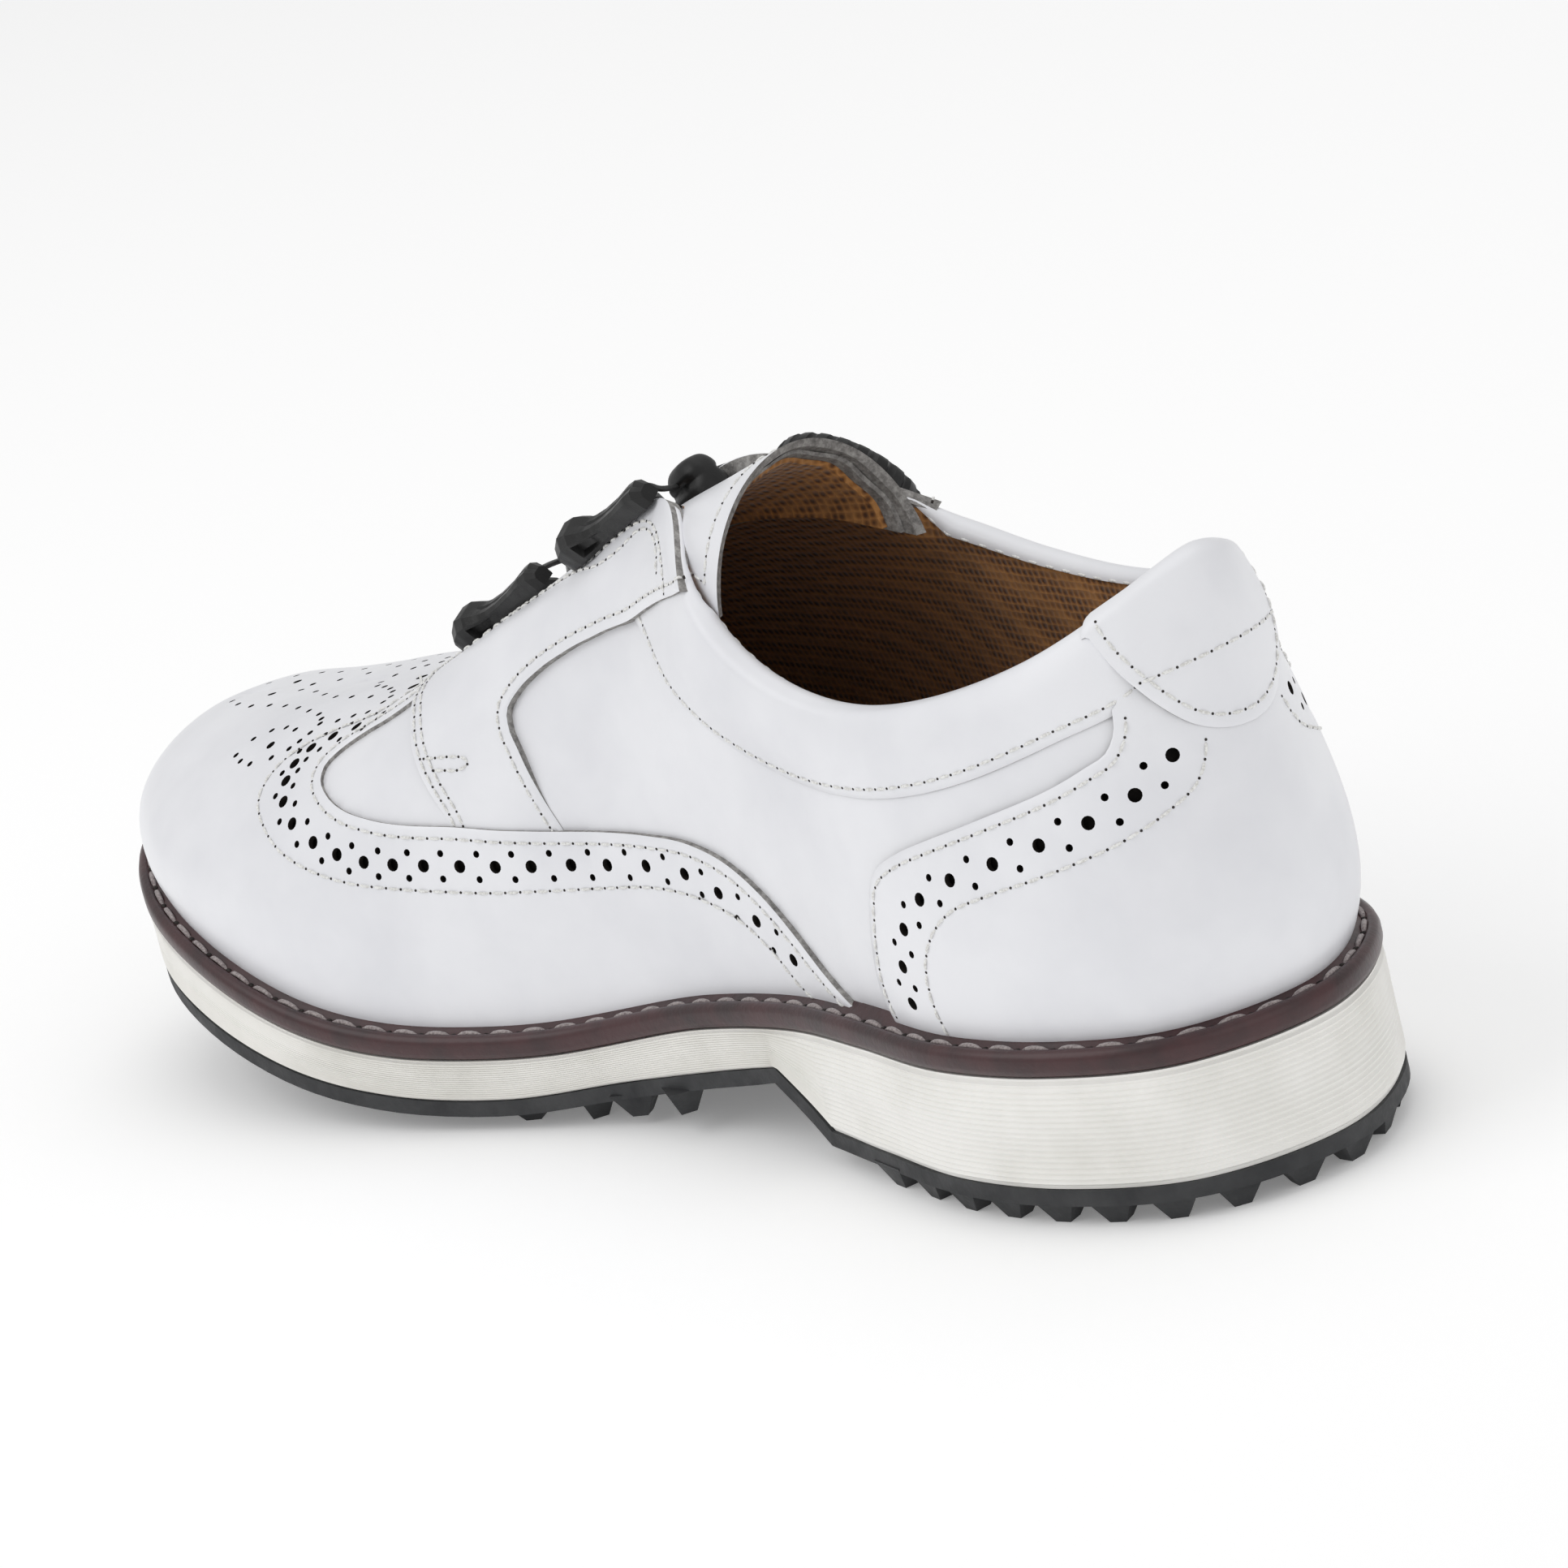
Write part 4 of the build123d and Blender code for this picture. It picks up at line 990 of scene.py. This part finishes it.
# ---------------------------------------------------------------- tongue
# Stations from the vamp to the top: x, z of the middle, half width, drop of the sides.
TONGUE = [(66, 66.8, 6, 2), (52, 74.2, 8, 2.5), (36, 83.0, 12, 4), (14, 94.5, 13.5, 5), (-12, 108.4, 13.5, 7.5),
          (-32, 116.6, 17, 14), (-47, 122.6, 21.5, 24)]
TONGUE_Y = 4.0
TONGUE_SEAM = 0.055          # how far its stitches lie from its edge, as a share of its length


def tongue_point(t, w, depth):
    """Point of the tongue: t from the vamp (0) to the top (1), w from -1 (lateral) to 1 (medial)."""
    t, w = np.asarray(t), np.asarray(w)
    row = smooth(np.linspace(0, 1, len(TONGUE)), TONGUE, np.clip(np.ravel(t), 0, 1)).reshape(*t.shape, 4)
    turn = w * math.pi / 2
    lean = np.where(w > 0, -2.5, 5.5) * np.clip(t - 0.7, 0, 1) / 0.3 * np.abs(w)**2
    y = TONGUE_Y + (row[..., 2] - depth) * np.sin(turn)
    z = row[..., 1] - depth - (row[..., 3] - depth) * (1 - np.cos(turn))
    return np.stack([row[..., 0] + depth * 0.5 - lean, y, z], -1)


def make_tongue():
    t, w = np.meshgrid(np.linspace(0, 1, 60), np.linspace(-1, 1, 65), indexing="ij")
    wave = 0.25 * np.sin(w * 17) * np.clip((t - 0.9) * 10, 0, 1)
    face = closed_grid("tongue_face", tongue_point(t, w, np.zeros_like(t)), tongue_point(t, w, 1.5 + wave * 0.4),
                       [WHITE, RAW_EDGE], marks=(0, 1, 1),
                       stands_for=("tongue_leather", "tongue_foam"))
    for name, length, width, top, bottom, material, slot_name, stands_for in (
            ("tongue_felt", 0.985, 0.985, 1.7, 2.4, RAW_EDGE, "foam", ()),
            ("tongue_mesh_lining", 0.965, 0.96, 2.5, 3.4, LINING, "brown_mesh", ("tongue_lining",))):
        outer, inner = (tongue_point(t * length, w * width, depth + wave) for depth in (top, bottom))
        closed_grid(name, outer, inner, [material], stands_for=stands_for)
    end, side = 1 - TONGUE_SEAM, 1 - TONGUE_SEAM * 2.2
    path = [(t, side) for t in np.linspace(0.55, end, 60)]
    path += [(end, w) for w in np.linspace(side, -side, 140)]
    path += [(t, -side) for t in np.linspace(end, 0.55, 60)]
    stitches("tongue_stitching", [np.array(path)], 0.02, surface=lambda a, b, lift: tongue_point(a, b, -lift))


# ---------------------------------------------------------------- sole
def underside(x):
    share = np.clip((x - BREAST_BOTTOM_X) / (BREAST_TOP_X - BREAST_BOTTOM_X), 0, 1)
    fore = profile(FORE_UNDERSIDE, np.maximum(x, BREAST_TOP_X))
    return np.where(x < BREAST_TOP_X, HEEL_REST + share * (FORE_UNDERSIDE[0][1] - HEEL_REST), fore)


def make_midsole():
    """Foam midsole with fine lines moulded along its side, closed by strips across the shoe."""
    edge = welt_edge(np.arange(520) / 520 * 2)
    top, bottom = profile(WELT_TOP, edge[:, 0]) - WELT_THICKNESS, underside(edge[:, 0])
    rings = []
    for share in np.arange(76) / 75:
        wave = 0.22 * math.cos(share * 2 * math.pi * 19)
        inset = 0.35 + 0.22 - wave + 0.9 * (1 - min(1, share * 8))**2 + 0.5 * (1 - min(1, (1 - share) * 10))**2
        rings.append(np.column_stack([inward(edge, inset), bottom + (top - bottom) * share]))
    rings += [np.column_stack([inward(edge, inset), top]) for inset in (6, 14, 22)]
    n, m = len(edge), len(rings)
    faces = grid_faces(n, m, wrap_rows=True)
    for column, order in ((0, -1), (m - 1, 1)):
        ring = [i * m + column for i in range(n)]
        strips = [(ring[i], ring[i + 1], ring[n - i - 1], ring[(n - i) % n]) for i in range(n // 2 - 1)]
        strips += [(ring[n // 2 - 1], ring[n // 2], ring[n // 2 + 1])]
        strips[0] = strips[0][:3]
        faces += [strip[::order] for strip in strips]
    mesh = mesh_from("midsole_foam", np.stack(rings, 1).reshape(-1, 3), faces, [FOAM], sharp=50)
    link("midsole_foam", mesh, stands_for=("midsole",))


# Section of the welt: inset from its edge, height over its top.
WELT_SECTION = [(9.0, -4.8), (1.2, -4.8), (0.35, -4.2), (0.0, -3.2), (0.0, -1.6), (0.35, -0.6), (1.1, -0.05),
                (1.7, 0.0), (2.05, -0.45), (2.6, -0.6), (3.15, -0.45), (3.5, 0.0), (4.1, 0.25), (4.8, 0.95),
                (5.6, 1.35), (6.6, 1.2), (9.0, 0.0)]
GROOVE_INSET = 2.6


def make_welt():
    """Storm welt: rounded edge, a groove for the stitches and a raised inner bead."""
    edge = welt_edge(np.arange(620) / 620 * 2)
    top = profile(WELT_TOP, edge[:, 0])
    rings = np.stack([np.column_stack([inward(edge, inset), top + height]) for inset, height in WELT_SECTION], 1)
    faces = grid_faces(len(edge), len(WELT_SECTION), wrap_rows=True, wrap_columns=True)
    link("storm_welt", mesh_from("storm_welt", rings.reshape(-1, 3), faces, [WELT], sharp=60),
         stands_for=("welt",))

    def groove(s, inset, lift):
        place = welt_edge(s / SIDE_LENGTH)
        return np.column_stack([inward(place, inset[:, None]), profile(WELT_TOP, place[:, 0]) - 0.55 + lift])
    s = np.arange(0, LOOP, 0.5)
    stitches("welt_stitching", [np.column_stack([s, np.full(len(s), GROOVE_INSET)])], 0.12, pitch=7.1, length=5.9,
             thread=0.5, hole=0.55, thread_material=THREAD_WELT, surface=groove)


# ---------------------------------------------------------------- lace, guides and dial
# Stations of a lace guide: along, half width, height, chamfer, groove on top, pocket in the side.
GUIDE_STATIONS = [
    (0.0, 1.3, 2.8, 0.8, 0.0, 0.0), (0.7, 2.4, 4.2, 1.0, 0.0, 0.0), (2.4, 3.2, 5.3, 1.3, 0.0, 0.0),
    (5.4, 3.6, 6.6, 1.7, 0.0, 0.0), (7.8, 3.6, 6.3, 1.5, 0.0, 0.0), (8.0, 3.6, 6.2, 1.4, 0.0, 1.3),
    (10.2, 3.1, 5.1, 1.1, 0.1, 1.2), (11.6, 2.6, 4.4, 0.9, 0.3, 0.8), (13.4, 2.3, 4.0, 0.7, 0.45, 0.2),
    (17.0, 2.2, 3.7, 0.6, 0.5, 0.0), (22.0, 2.2, 3.8, 0.6, 0.5, 0.0), (27.0, 2.4, 4.3, 0.8, 0.45, 0.0),
    (29.4, 2.4, 4.3, 1.0, 0.2, 0.0), (31.0, 1.6, 2.8, 0.7, 0.0, 0.0),
]
GUIDES = {
    "medial_lower_guide": ((46.2, 11, 81.3), (17.7, 11.8, 96.9), (0.4, 0.42, 0.8)),
    "medial_upper_guide": ((9, 11.4, 100.4), (-19, 12.4, 114.8), (0.35, 0.5, 0.78)),
    "lateral_guide": ((32.4, -5.5, 89.5), (4.4, -6.1, 103.9), (0.4, -0.42, 0.8)),
}

GUIDE_ROUNDING = 0.3


def make_guide(name, front, rear, normal):
    """Hooked lace guide between two places, with small radii on its edges."""
    front, rear, normal = (np.array(p, float) for p in (front, rear, normal))
    x_axis = unit(rear - front)
    y_axis = unit(np.cross(normal, x_axis))
    z_axis = np.cross(x_axis, y_axis)
    table = np.array(GUIDE_STATIONS)
    end = table[-1, 0]
    size = np.linalg.norm(rear - front) / end
    stations = np.unique(np.concatenate([table[:, 0], np.linspace(0, end, 40)]))
    rings = []
    for x, (half, height, chamfer, groove, pocket) in zip(stations, read_at(stations, table[:, 0], table[:, 1:])):
        low, high = height * 0.28, height * 0.62
        side = [(half * 0.94, 0), (half, low * 0.6), (half - pocket, low), (half - pocket, high), (half, high + 0.3),
                (half, height - chamfer), (half - chamfer, height), (0.5, height), (0, height - groove)]
        section = side + [(-y, z) for y, z in side[-2::-1]]
        rings += [front + x_axis * x * size + y_axis * y + z_axis * z for y, z in section]
    mesh = mesh_from(f"{name}_hook", rings, tube_faces(len(stations), 17), [BLACK])
    rounding = link(f"{name}_hook", mesh, stands_for=(name,)).modifiers.new("rounding", "BEVEL")
    rounding.width = GUIDE_ROUNDING * MM
    rounding.segments = 2
    rounding.limit_method = "ANGLE"
    rounding.angle_limit = math.radians(24)
    rounding.harden_normals = True


TONGUE_GUIDE_HEIGHT = 11.0
TONGUE_GUIDE_ORIGIN = np.array([-19.5, 1, 106.9])
TONGUE_GUIDE_X = np.array([0.857, 0, -0.515])
TONGUE_GUIDE_Z = np.array([0.515, 0, 0.857])


def make_tongue_guide():
    """Domed loop on the tongue with a slot for the lace across it."""
    y_axis = np.cross(TONGUE_GUIDE_Z, TONGUE_GUIDE_X)
    rings, columns = 22, 48
    vertices = []
    for i in range(rings):
        rise = math.radians(4 + 85 * i / (rings - 1))
        z = TONGUE_GUIDE_HEIGHT * math.sin(rise)**0.75
        for j in range(columns):
            turn = 2 * math.pi * j / columns
            x = -0.6 + 6.3 * math.cos(rise)**0.5 * math.copysign(abs(math.cos(turn))**0.75, math.cos(turn))
            y = 4.4 * math.cos(rise)**0.5 * math.copysign(abs(math.sin(turn))**0.75, math.sin(turn))
            dent = 1.1 * math.exp(-((z - 6.6) / 0.75)**2) * min(1.0, abs(y) / 2.4)
            vertices.append(TONGUE_GUIDE_ORIGIN + TONGUE_GUIDE_X * x + y_axis * y * (1 - dent / 4.4)
                            + TONGUE_GUIDE_Z * z)
    mesh = mesh_from("tongue_loop", vertices, tube_faces(rings, columns), [BLACK], sharp=50)
    link("tongue_loop", mesh, stands_for=("tongue_guide",))


LACE_RADIUS = 0.55
DIAL_CENTRE = np.array([-14, -28.8, 94.2])
DIAL_AXIS = unit(np.array([0.08, -0.83, 0.55]))
LACE = [
    (-13.7, -28.1, 101.4), (-13.7, -22.8, 109.4), (-16, -7.5, 113.5), (-16, 7.4, 113.5),
    (-12.8, 9.4, 116.0), (-13.7, 13.2, 114.0), (5.3, 12.6, 104.2), (6.1, 9.2, 106.0),
    (10.3, -3.4, 104.6), (9.7, -6.9, 103.2), (28.7, -6.5, 93.4), (29.3, -3.0, 94.9),
    (23.9, 9.0, 97.4), (23.2, 12.5, 96.0), (42.5, 12.0, 85.4), (43.2, 8.5, 86.9),
    (47.5, -3.0, 85.9), (46.9, -5.6, 84.8),
]


def revolve(name, section, body, stands_for, knurls=0, depth=0.0, columns=176):
    """Turned piece on the dial's axis; knurls scallop the points that are marked."""
    x_axis = unit(np.array([1.0, 0, 0]) - DIAL_AXIS * DIAL_AXIS[0])
    y_axis = np.cross(DIAL_AXIS, x_axis)
    vertices = []
    for i in range(columns):
        turn = 2 * math.pi * i / columns
        dent = depth * max(0.0, math.cos(turn * knurls))**0.8 if knurls else 0.0
        for radius, height, marked in section:
            r = radius - (dent if marked else 0)
            vertices.append(DIAL_CENTRE + x_axis * r * math.cos(turn) + y_axis * r * math.sin(turn)
                            + DIAL_AXIS * height)
    faces = grid_faces(columns, len(section), wrap_rows=True, wrap_columns=True)
    link(name, mesh_from(name, vertices, faces, [BLACK], sharp=42), body, stands_for)


def make_dial():
    revolve("dial_knob_grip", [
        (1.2, 9.5, 0), (3.4, 9.6, 0), (3.5, 10.2, 0), (6.0, 10.5, 0), (9.4, 10.4, 0), (9.8, 10.15, 0),
        (10.4, 10.15, 0), (10.8, 10.4, 0), (12.6, 10.35, 0), (13.7, 9.9, 1), (14.3, 9.1, 1), (14.6, 8.0, 1),
        (14.6, 5.6, 1), (14.3, 4.8, 1), (13.6, 4.5, 0), (12.95, 4.7, 0), (12.9, 8.7, 0), (1.2, 8.8, 0)],
        "knob", ("dial_knob",), knurls=22, depth=0.75)
    revolve("dial_housing", [
        (9.7, 0.3, 0), (15.4, 0.3, 0), (16.0, 0.6, 0), (15.9, 1.2, 0), (15.0, 1.7, 0), (13.9, 2.1, 0), (13.7, 3.8, 0),
        (13.3, 4.1, 0), (11.7, 4.15, 0), (11.5, 6.1, 0), (9.7, 6.1, 0)], "shoe", (), columns=96)


def make_lace():
    curve = bpy.data.curves.new("lace_cable_line", "CURVE")
    curve.dimensions = "3D"
    curve.bevel_depth = LACE_RADIUS * MM
    curve.bevel_resolution = 4
    spline = curve.splines.new("NURBS")
    spline.points.add(len(LACE) - 1)
    for point, place in zip(spline.points, LACE):
        point.co = (*[c * MM for c in place], 1)
    spline.order_u = 3
    spline.use_endpoint_u = True
    spline.resolution_u = 12
    curve.materials.append(STEEL)
    lace = bpy.data.objects.new("lace", curve)
    bpy.context.scene.collection.objects.link(lace)
    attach(lace, "shoe")
    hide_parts("lace_cable")


def give_materials():
    """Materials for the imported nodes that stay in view."""
    chosen = {"outsole": RUBBER, "insole_board": INSOLE, "cork_filler": INSOLE, "shank": STEEL,
              "lateral_anchor": BLACK, "dial_base": BLACK, "dial_spool": BLACK,
              "dial_ratchet": BLACK, "dial_screw": STEEL}
    for name, material in chosen.items():
        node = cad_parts[name]
        node.data.materials.clear()
        node.data.materials.append(material)


# ---------------------------------------------------------------- camera, light and floor
def make_stage():
    scene = bpy.context.scene
    camera_data = bpy.data.cameras.new("camera")
    camera = bpy.data.objects.new("camera", camera_data)
    scene.collection.objects.link(camera)
    camera_data.sensor_width = 36
    camera_data.lens = 170.5
    camera_data.clip_start, camera_data.clip_end = 0.01, 20
    back = Vector((-0.746, 0.593, 0.302)).normalized()
    right = Vector((-0.6615, -0.7125, -0.2338))
    right = (right - back * right.dot(back)).normalized()
    target = Vector((-22, 2.75, 56.8)) * MM
    turn = Matrix((right, back.cross(right), back)).transposed()
    camera.matrix_world = Matrix.Translation(target + back * 1.318) @ turn.to_4x4()
    scene.camera = camera

    bpy.ops.mesh.primitive_plane_add(size=12, location=(0, 0, 0))
    floor = bpy.context.object
    floor.name = "floor"
    paint = Look("floor_paint", (0.93, 0.93, 0.93), 0.9, specular=0.1)
    paint.shader.inputs["Emission Color"].default_value = (1, 1, 1, 1)
    paint.shader.inputs["Emission Strength"].default_value = 0.17
    floor.data.materials.append(paint.material)

    world = bpy.data.worlds.new("studio")
    world.use_nodes = True
    background = world.node_tree.nodes["Background"]
    background.inputs["Color"].default_value = (1, 1, 1, 1)
    background.inputs["Strength"].default_value = 0.62
    scene.world = world
    for name, place, size, power in (("key", (0.5, 1.1, 1.3), 1.3, 7.0), ("fill", (-1.5, 0.1, 0.9), 1.2, 2.2),
                                     ("top", (0.3, -0.5, 1.9), 1.5, 5.0)):
        light = bpy.data.lights.new(name, "AREA")
        light.size = size
        light.energy = power
        lamp = bpy.data.objects.new(name, light)
        scene.collection.objects.link(lamp)
        lamp.location = place
        lamp.rotation_euler = (Vector((0, 0, 0.05)) - Vector(place)).to_track_quat("-Z", "Y").to_euler()
    scene.view_settings.view_transform = "Standard"


make_stage()
make_toe_cap()
make_panels()
make_foxing()
make_heel_tab()
make_hole_shade_sheet()
make_lining()
make_insole()
make_stitching()
make_tongue()
make_midsole()
make_welt()
for guide, place in GUIDES.items():
    make_guide(guide, *place)
make_tongue_guide()
make_dial()
make_lace()
give_materials()
